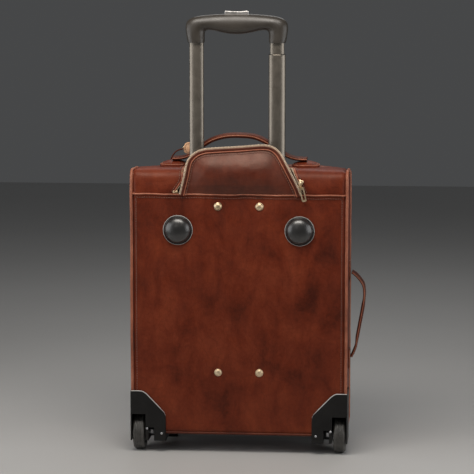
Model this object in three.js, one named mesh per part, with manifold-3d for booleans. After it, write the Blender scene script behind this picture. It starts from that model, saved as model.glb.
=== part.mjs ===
// Rolling laptop case in leather: soft case on two wheels, two-stage pull handle, zip-off handle cover,
// side-opening front lid, laptop sleeve, carry handles on the top and on one side. Millimetres, +Z up.
// The rear face, which carries the pull handle, looks along -Y. Touching pieces keep a gap of GAP.
import * as THREE from 'three';
import { mergeVertices } from 'three/addons/utils/BufferGeometryUtils.js';
import Module from 'manifold-3d';

const wasm = await Module();
wasm.setup();

// ---- driving dimensions -----------------------------------------------------------------------------
const GAP = 0.3;
const SIDES = [['left', -1], ['right', 1]];

const CASE = {
  halfWidth: 182.5, rear: -100, shellFront: 48, lidRear: 60, lidFront: 90, bottom: 33, top: 485,
};
const LID_TOP = 477; // the top slopes down to the lid in front of the carry handle
const SLOPE_START = -17;
const WALL = 4; // padded leather wall
const LINER = 2; // moulded liner of the handle well
const SEAM = 442; // seam where the handle cover is hinged to the rear panel
const BOARD = { stiffener: 2, lining: 3, liningRear: -57 };

const TUBE_Y = -77; // depth of the pull handle
const TUBE_X = 67.5; // half distance between its two legs
const HANDLE_X = -5; // the pull handle sits slightly left of the middle
const OUTER_TUBE = { width: 32, depth: 21, wall: 1.4, bottom: 60, top: 432.6 };
const MID_TUBE = { width: 28.4, depth: 17, wall: 1.5, length: 366, topLeft: 455, topRight: 676 };
const INNER_TUBE = { width: 24.3, depth: 13, wall: 1.2, bottom: 330, top: 722 };

const WELL = { halfWidth: 90, front: -59, floor: 437, floorThickness: 4 };
const GRIP = { halfWidth: 86, legWidth: 29, bottom: 695, top: 744, depth: 24 };
const BUTTON = { width: 40, depth: 9, top: 748, travel: 3.5 };

const WHEEL = { radius: 31, width: 21, x: 171, y: -74, z: 31, hubRadius: 21.5, bore: 4.4 };
const GUARD = { inner: 124, outer: 184.5, bottom: 20, top: 106, rear: -104, front: -36 };
const AXLE = { radius: 4, headRadius: 6.5, headLength: 5 };
const FOOT = { x: 135, y: 28, width: 44, depth: 26, soleWidth: 34, soleDepth: 20 };

const RIVET = { x: 35, headRadius: 6, headHeight: 3.4, shankRadius: 2.5, upper: 422.5, lower: 139.5 };
const BUMPER = { x: 102.5, z: 382, radius: 24.5, height: 14 };
const BRACKET = { halfWidth: 92, height: 18, rear: -93.4, front: -61 };

const TOP_HANDLE = { x: -3, y: -38, width: 28, thickness: 6 };
const SIDE_HANDLE = { y: -20, width: 28, top: 303, bottom: 157, thickness: 5 };
const PATCH = 2; // thickness of the leather patches under the carry handles

const FLAP = { rear: -104.3, thickness: 4, tape: 6, tapeThickness: 1.6 };
const SLEEVE = { halfWidth: 174, bottom: 106, top: 370, rear: -52, front: -18, padding: 8 };
const POCKET = { halfWidth: 150, bottom: 70, top: 330, depth: 24, wall: 3 };

// ---- materials --------------------------------------------------------------------------------------
const finish = (color, roughness, metalness = 0) => () =>
  new THREE.MeshStandardMaterial({ color, roughness, metalness });
const leather = finish('#7a3524', 0.55);
const lining = finish('#b59a72', 0.9);
const board = finish('#6d6154', 0.9);
const zipTape = finish('#b4977c', 0.9);
const brass = finish('#c9a86b', 0.3, 1);
const steel = finish('#8d8f93', 0.4, 1);
const gunmetal = finish('#4d4845', 0.35, 1);
const grey = finish('#4a4642', 0.5);
const black = finish('#141414', 0.35);
const rubber = finish('#2b2a29', 0.8);
const chrome = finish('#b9b6b2', 0.25, 1);
const tan = finish('#c79471', 0.6);

// ---- solids, joins and cuts -------------------------------------------------------------------------
function solid(geometry) {
  const bare = geometry.clone();
  bare.deleteAttribute('normal');
  bare.deleteAttribute('uv');
  const merged = mergeVertices(bare, 1e-4);
  return new wasm.Manifold(new wasm.Mesh({
    numProp: 3,
    vertProperties: new Float32Array(merged.attributes.position.array),
    triVerts: new Uint32Array(merged.index.array),
  }));
}

function surface(manifold) {
  const mesh = manifold.getMesh();
  const geometry = new THREE.BufferGeometry();
  geometry.setAttribute('position', new THREE.BufferAttribute(mesh.vertProperties, 3));
  geometry.setIndex(new THREE.BufferAttribute(mesh.triVerts, 1));
  geometry.computeVertexNormals();
  return geometry;
}

const cut = (body, ...tools) =>
  surface(tools.reduce((rest, tool) => rest.subtract(solid(tool)), solid(body)));
const join = (body, ...others) =>
  surface(others.reduce((sum, other) => sum.add(solid(other)), solid(body)));
const common = (a, b) => surface(solid(a).intersect(solid(b)));

// ---- basic forms ------------------------------------------------------------------------------------
const block = (x0, x1, y0, y1, z0, z1) =>
  new THREE.BoxGeometry(x1 - x0, y1 - y0, z1 - z0).translate((x0 + x1) / 2, (y0 + y1) / 2, (z0 + z1) / 2);

function outline(points) {
  return new THREE.Shape(points.map(([a, b]) => new THREE.Vector2(a, b)));
}

function roundedRect(width, height, radius) {
  const [a, b] = [width / 2 - radius, height / 2 - radius];
  const shape = new THREE.Shape();
  shape.absarc(a, b, radius, 0, Math.PI / 2);
  shape.absarc(-a, b, radius, Math.PI / 2, Math.PI);
  shape.absarc(-a, -b, radius, Math.PI, 1.5 * Math.PI);
  shape.absarc(a, -b, radius, 1.5 * Math.PI, 2 * Math.PI);
  shape.closePath();
  return shape;
}

function extrude(shape, depth, bevel = 0) {
  return new THREE.ExtrudeGeometry(shape, {
    depth: depth - 2 * bevel, curveSegments: 3, steps: 1,
    bevelEnabled: bevel > 0, bevelThickness: bevel, bevelSize: bevel, bevelOffset: -bevel, bevelSegments: 2,
  }).translate(0, 0, bevel);
}

// Shape in X and Y, from z0 up to z1.
const alongZ = (shape, z0, z1) => extrude(shape, z1 - z0).translate(0, 0, z0);

// Shape in X and Z, from y0 to y1.
const alongY = (shape, y0, y1, bevel = 0) =>
  extrude(shape, y1 - y0, bevel).rotateX(Math.PI / 2).translate(0, y1, 0);

// Shape in Y and Z, from x0 to x1.
const TURN_TO_X = new THREE.Matrix4().makeBasis(
  new THREE.Vector3(0, 1, 0), new THREE.Vector3(0, 0, 1), new THREE.Vector3(1, 0, 0));
const alongX = (shape, x0, x1) => extrude(shape, x1 - x0).applyMatrix4(TURN_TO_X).translate(x0, 0, 0);

const rod = (radius, length, sides = 16) => new THREE.CylinderGeometry(radius, radius, length, sides);
const rodX = (radius, x0, x1, y, z, sides) =>
  rod(radius, x1 - x0, sides).rotateZ(Math.PI / 2).translate((x0 + x1) / 2, y, z);
const rodY = (radius, y0, y1, x, z, sides) => rod(radius, y1 - y0, sides).translate(x, (y0 + y1) / 2, z);
const rodZ = (radius, z0, z1, x, y, sides) =>
  rod(radius, z1 - z0, sides).rotateX(Math.PI / 2).translate(x, y, (z0 + z1) / 2);

// Turned body around Z from a list of [radius, height] points.
const turned = (points, sides) =>
  new THREE.LatheGeometry(points.map(([r, h]) => new THREE.Vector2(r, h)), sides).rotateX(Math.PI / 2);

// Band of even thickness that follows a smooth line through points [a, b], as a flat shape.
function bandShape(points, thickness, segments = 24) {
  const path = points.map(([a, b]) => new THREE.Vector3(a, b, 0));
  const line = new THREE.CatmullRomCurve3(path, false, 'centripetal');
  const edge = [[], []];
  for (let i = 0; i <= segments; i += 1) {
    const at = line.getPoint(i / segments);
    const along = line.getTangent(i / segments);
    edge[0].push([at.x - along.y * thickness / 2, at.y + along.x * thickness / 2]);
    edge[1].unshift([at.x + along.y * thickness / 2, at.y - along.x * thickness / 2]);
  }
  return outline([...edge[0], ...edge[1]]);
}

// ---- scene ------------------------------------------------------------------------------------------
const bag = new THREE.Group();

function put(name, geometry, material, position = [0, 0, 0]) {
  const mesh = new THREE.Mesh(geometry, material());
  mesh.name = name;
  mesh.position.set(...position);
  bag.add(mesh);
}

// ---- soft case: rear panel, shoulders beside the handle well, gussets -------------------------------

// Rear outline of a corner guard, square at the outer bottom corner and sloping down on its inner side.
function guardOutline(side, grow = 0) {
  const shape = new THREE.Shape();
  const x = (value) => side * value;
  shape.moveTo(x(GUARD.inner - grow), GUARD.bottom - grow);
  shape.lineTo(x(GUARD.outer + grow), GUARD.bottom - grow);
  shape.lineTo(x(GUARD.outer + grow), GUARD.top + grow);
  shape.lineTo(x(168), GUARD.top + grow);
  shape.quadraticCurveTo(x(160 - grow), GUARD.top + grow, x(153 - grow), 97 + grow);
  shape.lineTo(x(129 - grow), 72 + grow);
  shape.quadraticCurveTo(x(GUARD.inner - grow), 67 + grow, x(GUARD.inner - grow), 58);
  shape.closePath();
  return shape;
}
const guardCutters = SIDES.map(([, side]) =>
  alongY(guardOutline(side, GAP), GUARD.rear - 1, GUARD.front + GAP));

const rearFixings = [];
for (const [, side] of SIDES) {
  for (const z of [RIVET.lower, RIVET.upper]) rearFixings.push([side * RIVET.x, z]);
}
const rivetHoles = rearFixings.map(([x, z]) => rodY(RIVET.shankRadius + GAP, CASE.rear - 1, -80, x, z, 12));
const bumperHoles = SIDES.map(([, side]) => rodY(3 + GAP, CASE.rear - 1, -80, side * BUMPER.x, BUMPER.z, 12));

function softCase() {
  const { halfWidth: w, rear, shellFront: front, bottom, top } = CASE;
  const inside = rear + WALL + GAP;
  put('rear_panel', cut(block(-w, w, rear, rear + WALL, bottom, SEAM - GAP),
    ...guardCutters, ...rivetHoles, ...bumperHoles), leather);
  put('rear_stiffener', cut(
    block(-w + 4.5, w - 4.5, inside, inside + BOARD.stiffener, bottom + 4.5, OUTER_TUBE.top),
    ...guardCutters, ...rivetHoles, ...bumperHoles), board);

  // Shoulders: rear wall and top wall in one piece, cut back on a slope where the handle cover closes.
  const mouth = outline([[-112, SEAM - 5], [112, SEAM - 5], [112, SEAM], [94, top + 1], [-94, top + 1],
    [-112, SEAM]]);
  const mouthCutter = alongY(mouth, rear - 1, rear + WALL + 0.1);
  const profile = new THREE.Shape();
  profile.moveTo(rear, SEAM + GAP);
  profile.lineTo(rear, top - 10);
  profile.quadraticCurveTo(rear, top, rear + 10, top);
  profile.lineTo(WELL.front, top);
  profile.lineTo(WELL.front, top - WALL);
  profile.lineTo(rear + WALL, top - WALL);
  profile.lineTo(rear + WALL, SEAM + GAP);
  profile.closePath();
  for (const [label, side] of SIDES) {
    const [x0, x1] = [HANDLE_X + side * (WELL.halfWidth + GAP), side * w].sort((a, b) => a - b);
    put(`shoulder_${label}`, cut(alongX(profile, x0, x1), mouthCutter), leather);
  }

  const roof = outline([[WELL.front + GAP, top], [SLOPE_START, top], [front, LID_TOP],
    [front, LID_TOP - WALL], [SLOPE_START, top - WALL], [WELL.front + GAP, top - WALL]]);
  put('top_gusset', alongX(roof, -w, w), leather);
  put('bottom_gusset', cut(block(-w, w, inside, front, bottom, bottom + WALL), ...guardCutters), leather);
  const [low, high, lidHigh] = [bottom + WALL + GAP, top - WALL - GAP, LID_TOP - WALL - GAP];
  const cheek = outline([[inside, low], [front, low], [front, lidHigh], [SLOPE_START, high], [inside, high]]);
  for (const [label, side] of SIDES) {
    const [x0, x1] = [side * (w - WALL), side * w].sort((a, b) => a - b);
    put(`${label}_gusset`, cut(alongX(cheek, x0, x1), ...guardCutters), leather);
  }
  put('lining_board', cut(
    block(-w + 4.5, w - 4.5, BOARD.liningRear, BOARD.liningRear + BOARD.lining, bottom + 4.5, top - 4.5),
    ...guardCutters), lining);
}

// ---- laptop sleeve: padded front, floor and two padded sides, open at the top -----------------------
function laptopSleeve() {
  const { halfWidth: w, bottom, top, rear, front, padding } = SLEEVE;
  const pouch = block(-w, w, rear, front, bottom, top);
  const space = block(-w + padding, w - padding, rear - 1, front - padding, bottom + padding, top + 1);
  put('laptop_sleeve', cut(pouch, space), lining);
}

// ---- handle well: floor with the two tube passages, liner on three sides ----------------------------
const tubeX = (side) => HANDLE_X + side * TUBE_X;

function handleWell() {
  const { halfWidth: w, front, floor, floorThickness } = WELL;
  const rear = CASE.rear + WALL + GAP;
  const passages = SIDES.map(([, side]) =>
    alongZ(roundedRect(MID_TUBE.width + 1, MID_TUBE.depth + 1, 7), floor - 10, floor + 10)
      .translate(tubeX(side), TUBE_Y, 0));
  const [left, right] = [HANDLE_X - w, HANDLE_X + w];
  put('well_floor', cut(block(left, right, rear, front, floor - floorThickness, floor), ...passages), black);
  const [innerLeft, innerRight] = [left + LINER, right - LINER];
  const plan = outline([[left, rear], [innerLeft, rear], [innerLeft, front - LINER],
    [innerRight, front - LINER], [innerRight, rear], [right, rear], [right, front], [left, front]]);
  put('well_liner', alongZ(plan, floor + GAP, CASE.top - WALL - GAP), lining);
}

// ---- pull handle: fixed tubes, middle stages, inner stages, grip, button, pull rods -----------------
function tube({ width, depth, wall }, z0, z1) {
  const shape = roundedRect(width, depth, depth / 2 - 1.5);
  shape.holes.push(roundedRect(width - 2 * wall, depth - 2 * wall, depth / 2 - 1.5 - wall));
  return alongZ(shape, z0, z1);
}

function gripOutline() {
  const { halfWidth: w, legWidth, bottom, top } = GRIP;
  const leg = w - legWidth;
  const shape = new THREE.Shape();
  shape.moveTo(-w, bottom);
  shape.lineTo(-w, top - 20);
  shape.quadraticCurveTo(-w, top - 3, -w + 19, top - 2);
  shape.quadraticCurveTo(0, top + 1, w - 19, top - 2);
  shape.quadraticCurveTo(w, top - 3, w, top - 20);
  shape.lineTo(w, bottom);
  shape.lineTo(leg, bottom);
  shape.lineTo(leg, top - 32);
  shape.quadraticCurveTo(leg, top - 24, leg - 9, top - 25);
  shape.quadraticCurveTo(leg - 28, top - 34, 0, top - 34);
  shape.quadraticCurveTo(-leg + 28, top - 34, -leg + 9, top - 25);
  shape.quadraticCurveTo(-leg, top - 24, -leg, top - 32);
  shape.lineTo(-leg, bottom);
  shape.closePath();
  return shape;
}

function pullHandle() {
  for (const [label, side] of SIDES) {
    const at = [tubeX(side), TUBE_Y, 0];
    const midTop = side < 0 ? MID_TUBE.topLeft : MID_TUBE.topRight;
    put(`outer_tube_${label}`, tube(OUTER_TUBE, OUTER_TUBE.bottom, OUTER_TUBE.top), gunmetal, at);
    put(`mid_tube_${label}`, tube(MID_TUBE, midTop - MID_TUBE.length, midTop), gunmetal, at);
    put(`inner_tube_${label}`, tube(INNER_TUBE, INNER_TUBE.bottom, INNER_TUBE.top), gunmetal, at);
  }

  // Grip: two half shells that meet in the middle of its depth. Sockets hold the inner tubes, a channel
  // above them holds the crossbar of the button, and a pocket below the crossbar holds the spring.
  const yoke = { halfLength: TUBE_X + 5, bottom: 730.5, height: 3.5, depth: 6 };
  const channel = { bottom: yoke.bottom - BUTTON.travel - 0.5, top: 738, depth: 8 };
  const spring = { radius: 3.4, wire: 0.6, bottom: 715, top: yoke.bottom - GAP };
  const rear = -GRIP.depth / 2;
  const hollow = [
    block(-TUBE_X - 6, TUBE_X + 6, -channel.depth / 2, channel.depth / 2, channel.bottom, channel.top),
    block(-BUTTON.width / 2 - 0.4, BUTTON.width / 2 + 0.4, -BUTTON.depth / 2 - 0.4, BUTTON.depth / 2 + 0.4,
      channel.bottom, GRIP.top + 5),
    rodZ(spring.radius + spring.wire + 0.6, spring.bottom - GAP, channel.bottom + 1, 0, 0, 12),
    ...SIDES.map(([, side]) =>
      alongZ(roundedRect(INNER_TUBE.width + 2 * GAP, INNER_TUBE.depth + 2 * GAP, 5.3), GRIP.bottom - 1,
        INNER_TUBE.top + GAP).translate(side * TUBE_X, 0, 0)),
    ...SIDES.map(([, side]) => rodZ(3.4, INNER_TUBE.top - 1, channel.bottom + 1, side * TUBE_X, 0, 12)),
  ];
  const whole = alongY(gripOutline(), rear, -rear, 4);
  const far = 200;
  const halves = { rear: [-far, -GAP / 2], front: [GAP / 2, far] };
  for (const [label, [y0, y1]] of Object.entries(halves)) {
    const half = common(cut(whole, ...hollow), block(-far, far, y0, y1, 0, GRIP.top + far));
    put(`grip_${label}_shell`, half, grey, [HANDLE_X, TUBE_Y, 0]);
  }

  const cap = block(-BUTTON.width / 2, BUTTON.width / 2, -BUTTON.depth / 2, BUTTON.depth / 2,
    yoke.bottom + 1, BUTTON.top);
  const dish = rodY(120, -20, 20, 0, BUTTON.top + 119, 96);
  const crossbar = block(-yoke.halfLength, yoke.halfLength, -yoke.depth / 2, yoke.depth / 2,
    yoke.bottom, yoke.bottom + yoke.height);
  put('button', cut(join(cap, crossbar), dish), chrome, [HANDLE_X, TUBE_Y, 0]);
  for (const [label, side] of SIDES) {
    put(`pull_rod_${label}`, rodZ(2.4, INNER_TUBE.bottom + 6, yoke.bottom - GAP, 0, 0, 8), steel,
      [tubeX(side), TUBE_Y, 0]);
  }

  const turns = 3;
  const helix = [];
  const height = spring.top - spring.bottom - 2 * spring.wire;
  for (let i = 0; i <= turns * 8; i += 1) {
    const angle = (i / 8) * 2 * Math.PI;
    const rise = spring.bottom + spring.wire + (i / (turns * 8)) * height;
    helix.push(new THREE.Vector3(spring.radius * Math.cos(angle), spring.radius * Math.sin(angle), rise));
  }
  const wire = new THREE.Shape();
  wire.absarc(0, 0, spring.wire, 0, 2 * Math.PI);
  put('button_spring', new THREE.ExtrudeGeometry(wire, {
    steps: turns * 8, curveSegments: 5, bevelEnabled: false, extrudePath: new THREE.CatmullRomCurve3(helix),
  }), steel, [HANDLE_X, TUBE_Y, 0]);
}

// ---- brackets and rivets that hold the fixed tubes to the rear panel --------------------------------
function brackets() {
  for (const [label, z] of [['lower', RIVET.lower], ['upper', RIVET.upper]]) {
    const height = label === 'upper' ? BRACKET.height - 4 : BRACKET.height;
    const bar = block(-BRACKET.halfWidth, BRACKET.halfWidth - 6, BRACKET.rear, BRACKET.front,
      z - height / 2, z + height / 2);
    const passages = SIDES.map(([, side]) =>
      alongZ(roundedRect(OUTER_TUBE.width + 2 * GAP, OUTER_TUBE.depth + 2 * GAP, 9.3), z - 20, z + 20)
        .translate(tubeX(side), TUBE_Y, 0));
    put(`${label}_bracket`, cut(bar, ...passages, ...rivetHoles), black);
  }
  for (const [label, side] of SIDES) {
    for (const [row, z] of [['lower', RIVET.lower], ['upper', RIVET.upper]]) {
      const { headRadius: r, headHeight: h, shankRadius: s } = RIVET;
      const profile = [[0, 0], [s, 0], [s, 14], [r, 14], [r, 15],
        [r * 0.8, 14 + h * 0.75], [r * 0.4, 14 + h * 0.97], [0, 14 + h]];
      put(`rivet_${row}_${label}`, turned(profile, 16).rotateX(Math.PI / 2), brass,
        [side * RIVET.x, CASE.rear + 14 - GAP, z]);
    }
  }
}

// ---- domed rear bumpers -----------------------------------------------------------------------------
function bumpers() {
  const { radius: r, height: h } = BUMPER;
  const dome = [[0, 0], [3, 0], [3, 7], [r, 7], [r, 10], [r - 1.6, 10.8]];
  const arcs = 4;
  for (let i = 1; i <= arcs; i += 1) {
    const angle = (i / arcs) * Math.PI / 2;
    dome.push([i === arcs ? 0 : (r - 1.6) * Math.cos(angle), 10.8 + (h - 3.8) * Math.sin(angle)]);
  }
  for (const [label, side] of SIDES) {
    put(`rear_bumper_${label}`, turned(dome, 24).rotateX(Math.PI / 2), black,
      [side * BUMPER.x, CASE.rear + 7 - GAP, BUMPER.z]);
  }
}

// ---- wheels, axles, corner guards, front feet -------------------------------------------------------
function runningGear() {
  const { radius, width, y, z, hubRadius, bore } = WHEEL;
  const half = width / 2;
  for (const [label, side] of SIDES) {
    const x = side * WHEEL.x;
    const ends = (a, b) => [side * a, side * b].sort((p, q) => p - q);

    const pocketSpan = ends(WHEEL.x - half - 2, WHEEL.x + half + 0.8);
    const pocket = rodX(radius + 4, ...pocketSpan, y, z, 32);
    const mouth = block(...pocketSpan, GUARD.rear - 5, y + radius + 4, GUARD.bottom - 1, z);
    const archway = block(...pocketSpan, GUARD.rear - 5, y, z, z + radius + 4);
    const headSpan = ends(144, WHEEL.x - half - 7);
    const headRecess = block(...headSpan, GUARD.rear - 5, y + 12, GUARD.bottom - 1, z + 12);
    const axleHole = rodX(AXLE.radius + GAP, ...ends(140, 183), y, z, 16);
    put(`corner_guard_${label}`, cut(alongY(guardOutline(side), GUARD.rear, GUARD.front, 2),
      pocket, mouth, archway, headRecess, axleHole), black);

    const shank = rodX(AXLE.radius, ...ends(WHEEL.x - half - 8, 182.5), y, z, 16);
    const headOuter = WHEEL.x - half - 7 - GAP;
    const head = rodX(AXLE.headRadius, ...ends(headOuter - AXLE.headLength, headOuter), y, z, 6);
    put(`axle_bolt_${label}`, join(shank, head), steel);

    const hub = turned([[bore, -half], [9, -half], [10, -half + 3], [hubRadius - 3, -half + 3],
      [hubRadius, -half + 1.5], [hubRadius, half - 1.5], [hubRadius - 3, half - 3], [10, half - 3], [9, half],
      [bore, half], [bore, -half]], 24);
    const tyre = turned([[hubRadius + GAP, -half + 1], [radius - 3, -half + 0.5], [radius - 0.6, -half + 3],
      [radius, 0], [radius - 0.6, half - 3], [radius - 3, half - 0.5], [hubRadius + GAP, half - 1],
      [hubRadius + GAP, -half + 1]], 32);
    put(`hub_${label}`, hub.rotateY(Math.PI / 2), grey, [x, y, z]);
    put(`tyre_${label}`, tyre.rotateY(Math.PI / 2), rubber, [x, y, z]);

    const top = CASE.bottom - GAP;
    const foot = new THREE.CylinderGeometry(1, FOOT.soleWidth / FOOT.width, top, 4, 1)
      .rotateY(Math.PI / 4).rotateX(Math.PI / 2)
      .scale(FOOT.width / Math.SQRT2, FOOT.depth / Math.SQRT2, 1);
    put(`front_foot_${label}`, foot, black, [side * FOOT.x, FOOT.y, top / 2]);
  }
}

// ---- carry handles and luggage tag ------------------------------------------------------------------
function carryHandles() {
  const patchTop = CASE.top + GAP + PATCH;
  const rest = patchTop + GAP + TOP_HANDLE.thickness / 2;
  const arch = [[-114, rest], [-97, rest + 1.5], [-82, rest + 12], [-66, rest + 26], [-48, rest + 38],
    [-25, rest + 45], [0, rest + 46.5], [25, rest + 44], [45, rest + 36], [63, rest + 25], [81, rest + 10],
    [98, rest + 1.5], [114, rest]];
  const { x, y, width } = TOP_HANDLE;
  put('top_handle', alongY(bandShape(arch, TOP_HANDLE.thickness, 32), -width / 2, width / 2),
    leather, [x, y, 0]);
  for (const [label, side] of SIDES) {
    const patch = alongZ(roundedRect(46, width + 10, 9), CASE.top + GAP, patchTop);
    put(`top_handle_patch_${label}`, patch, leather, [x + side * 112, y, 0]);
  }

  const face = CASE.halfWidth + GAP;
  const off = face + PATCH + GAP + SIDE_HANDLE.thickness / 2;
  const side = [[off, SIDE_HANDLE.top], [off + 3.5, 301], [off + 10, 295], [off + 16, 287.5],
    [off + 20, 279.5], [off + 21.5, 267], [off + 20.5, 254], [off + 17.5, 235], [off + 13.5, 213],
    [off + 10, 193], [off + 7.5, 176], [off + 4, 166], [off, SIDE_HANDLE.bottom]];
  put('side_handle', alongY(bandShape(side, SIDE_HANDLE.thickness, 28), -SIDE_HANDLE.width / 2,
    SIDE_HANDLE.width / 2), leather, [0, SIDE_HANDLE.y, 0]);
  for (const [label, z] of [['upper', SIDE_HANDLE.top + 4], ['lower', SIDE_HANDLE.bottom - 4]]) {
    const patch = alongX(roundedRect(SIDE_HANDLE.width + 10, 34, 9), face, face + PATCH);
    put(`side_handle_patch_${label}`, patch, leather, [0, SIDE_HANDLE.y, z]);
  }

  const loop = [[-127, CASE.top + 4], [-127, 496], [-122, 506], [-114, 511.5], [-102.6, 512]];
  put('tag_strap', alongY(bandShape(loop, 2.4, 10), -5, 5), leather, [0, -13, 0]);
  put('luggage_tag', alongY(roundedRect(35, 20, 7), -1.5, 1.5), tan, [-84, -13, 512]);
}

// ---- handle cover: leather flap with a zip round its edge, slider and pull tab ----------------------
function flapOutline(inset, base = SEAM + 1) {
  const shape = new THREE.Shape();
  const at = (x, z) => [x < 0 ? x + inset : x - inset, z];
  const drop = 498 - base; // the straight sides splay outwards below this height
  shape.moveTo(...at(-88 - 0.19 * drop, base));
  shape.lineTo(...at(-88, 498));
  shape.quadraticCurveTo(...at(-80, 520 - inset), ...at(-54, 525 - inset));
  shape.quadraticCurveTo(-6, 530 - inset, ...at(46, 527 - inset));
  shape.quadraticCurveTo(...at(72, 522 - inset), ...at(84, 498));
  shape.lineTo(...at(84 + 0.35 * drop, base));
  shape.closePath();
  return shape;
}

function handleCover() {
  const { rear, thickness, tape, tapeThickness } = FLAP;
  const tapeRear = rear + (thickness - tapeThickness) / 2;
  put('handle_cover', alongY(flapOutline(tape), rear, rear + thickness), leather);
  put('cover_zip_tape', cut(alongY(flapOutline(0), tapeRear, tapeRear + tapeThickness),
    alongY(flapOutline(tape - GAP, SEAM - 5), rear, rear + thickness)), zipTape);

  // Slider and pull tab wait beside the cover, at the end of the zip half that is sewn to the case.
  put('cover_zip_slider', alongY(roundedRect(8, 13, 3), -1.7, 1.7), brass, [103.5, rear + 2.1, 462]);
  const tab = roundedRect(8, 25, 3);
  tab.holes.push(roundedRect(3.4, 15, 1.6));
  put('cover_zip_pull', alongY(tab, -0.8, 0.8).rotateY(-0.22), brass, [108, rear - 1.1, 444.5]);
}

// ---- front lid with an open-topped pocket, zip slider and pull tab ----------------------------------
function frontLid() {
  const { halfWidth: w, lidRear, lidFront, bottom } = CASE;
  const top = LID_TOP;
  const panelRear = lidFront - WALL;
  const frame = cut(block(-w, w, lidRear, panelRear - GAP, bottom, top),
    block(-w + WALL, w - WALL, lidRear - 1, panelRear + 1, bottom + WALL, top - WALL));
  put('lid_frame', frame, leather);
  put('lid_panel', block(-w, w, panelRear, lidFront, bottom, top), leather);

  const { halfWidth, wall, depth } = POCKET;
  const back = lidFront + GAP;
  const pouch = block(-halfWidth, halfWidth, back, back + depth, POCKET.bottom, POCKET.top);
  const space = block(-halfWidth + wall, halfWidth - wall, back - 1, back + depth - wall,
    POCKET.bottom + wall, POCKET.top + 1);
  put('front_pocket', cut(pouch, space), leather);

  // The zip closes the gap between case and lid along the top, the right side and the bottom.
  const [zipRear, zipFront] = [CASE.shellFront + GAP, lidRear - GAP];
  const tapeRing = cut(block(-w + 8, w - 1, zipRear, zipFront, bottom + 1, top - 1),
    block(-w, w - 2.5, zipRear - 1, zipFront + 1, bottom + 2.5, top - 2.5));
  put('main_zip_tape', tapeRing, zipTape);

  const sliderY = (zipRear + zipFront) / 2;
  const slider = { x: 30, z: top + 1, height: 5 };
  put('main_zip_slider', alongZ(roundedRect(15, 9, 3), 0, slider.height), brass, [slider.x, sliderY, slider.z]);
  const tab = roundedRect(30, 9, 3);
  tab.holes.push(roundedRect(16, 4, 1.6));
  put('main_zip_pull', alongZ(tab, 0, 1.8), brass, [slider.x - 11, sliderY, slider.z + slider.height + GAP]);
}

softCase();
laptopSleeve();
handleWell();
pullHandle();
brackets();
bumpers();
runningGear();
carryHandles();
handleCover();
frontLid();

// The origin is at the middle of the whole case, on the plane that it stands on.
const extent = new THREE.Box3().setFromObject(bag);
const middle = extent.getCenter(new THREE.Vector3());
bag.position.set(-middle.x, -middle.y, -extent.min.z);

export default bag;
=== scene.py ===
"""Looks of a leather rolling laptop case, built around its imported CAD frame.

Everything is in metres in the frame of the CAD model: +Z up, rear face (with the pull handle) towards -Y.
Positions come from the boxes of the CAD nodes. Small lengths are written as MM * value.
"""

import math

import bmesh
import bpy
from mathutils import Matrix, Vector, noise


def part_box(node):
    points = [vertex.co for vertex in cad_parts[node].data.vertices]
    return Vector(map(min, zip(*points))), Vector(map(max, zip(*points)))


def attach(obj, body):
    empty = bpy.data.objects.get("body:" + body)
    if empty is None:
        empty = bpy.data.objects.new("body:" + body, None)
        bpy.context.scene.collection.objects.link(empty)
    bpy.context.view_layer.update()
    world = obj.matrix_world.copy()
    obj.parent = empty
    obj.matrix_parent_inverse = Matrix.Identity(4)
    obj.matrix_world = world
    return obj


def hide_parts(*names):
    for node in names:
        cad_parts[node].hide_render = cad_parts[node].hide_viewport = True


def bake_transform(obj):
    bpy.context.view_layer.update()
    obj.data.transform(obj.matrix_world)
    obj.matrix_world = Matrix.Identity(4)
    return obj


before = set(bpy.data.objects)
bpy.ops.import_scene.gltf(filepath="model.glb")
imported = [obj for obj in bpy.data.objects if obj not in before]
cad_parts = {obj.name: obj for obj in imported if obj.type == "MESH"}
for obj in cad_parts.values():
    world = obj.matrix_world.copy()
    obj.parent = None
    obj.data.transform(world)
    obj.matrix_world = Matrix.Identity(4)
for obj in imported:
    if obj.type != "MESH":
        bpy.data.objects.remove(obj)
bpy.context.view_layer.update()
MM = 0.001

# ---- places read from the frame ------------------------------------------------------------------------


def box(node):
    """The lowest and the highest corner of a CAD node."""
    low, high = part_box(node)
    return Vector(low), Vector(high)


REAR_LOW, REAR_HIGH = box("rear_panel")
TOP_LOW, TOP_HIGH = box("top_gusset")
MID = (REAR_LOW.x + REAR_HIGH.x) / 2
HALF = (REAR_HIGH.x - REAR_LOW.x) / 2
REAR, SEAM, BOTTOM = REAR_LOW.y, REAR_HIGH.z, REAR_LOW.z
TOP, FRONT, WELL_FRONT = TOP_HIGH.z, TOP_HIGH.y, TOP_LOW.y
WELL_LEFT, WELL_RIGHT = box("well_floor")[0].x - MID, box("well_floor")[1].x - MID
LID_LOW, LID_HIGH = box("lid_frame")
LID_FRONT, LID_TOP = box("lid_panel")[1].y, LID_HIGH.z
GUARD_LOW, GUARD_HIGH = box("corner_guard_right")
GUARD_INNER = GUARD_LOW.x - MID
SIDES = (("left", -1), ("right", 1))
RIGHT, FORWARD, UP = Vector((1, 0, 0)), Vector((0, 1, 0)), Vector((0, 0, 1))

SHOULDER = 20 * MM      # radius from the rear face into the top
SHELL_CORNER = 14 * MM  # the same radius at the case's two sides
CORNER_SAG = 8 * MM     # how much further the top falls at its front corners
TUCK = 5 * MM           # how far leather runs on under the corner guards
HIDE = 2.4 * MM         # thickness of the leather on the rear and on the lid
SIDE_HIDE = 2.2 * MM    # and of the leather on the top, the sides and the bottom
CLOTH = 1.0 * MM        # thickness of the lining where no board backs it


def centre(node):
    low, high = box(node)
    return (low + high) / 2


def at(x, y, z):
    """A place given in millimetres, with x from the middle of the case."""
    return Vector((MID + x * MM, y * MM, z * MM))


def clamp(value, low=0.0, high=1.0):
    return max(low, min(high, value))


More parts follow.
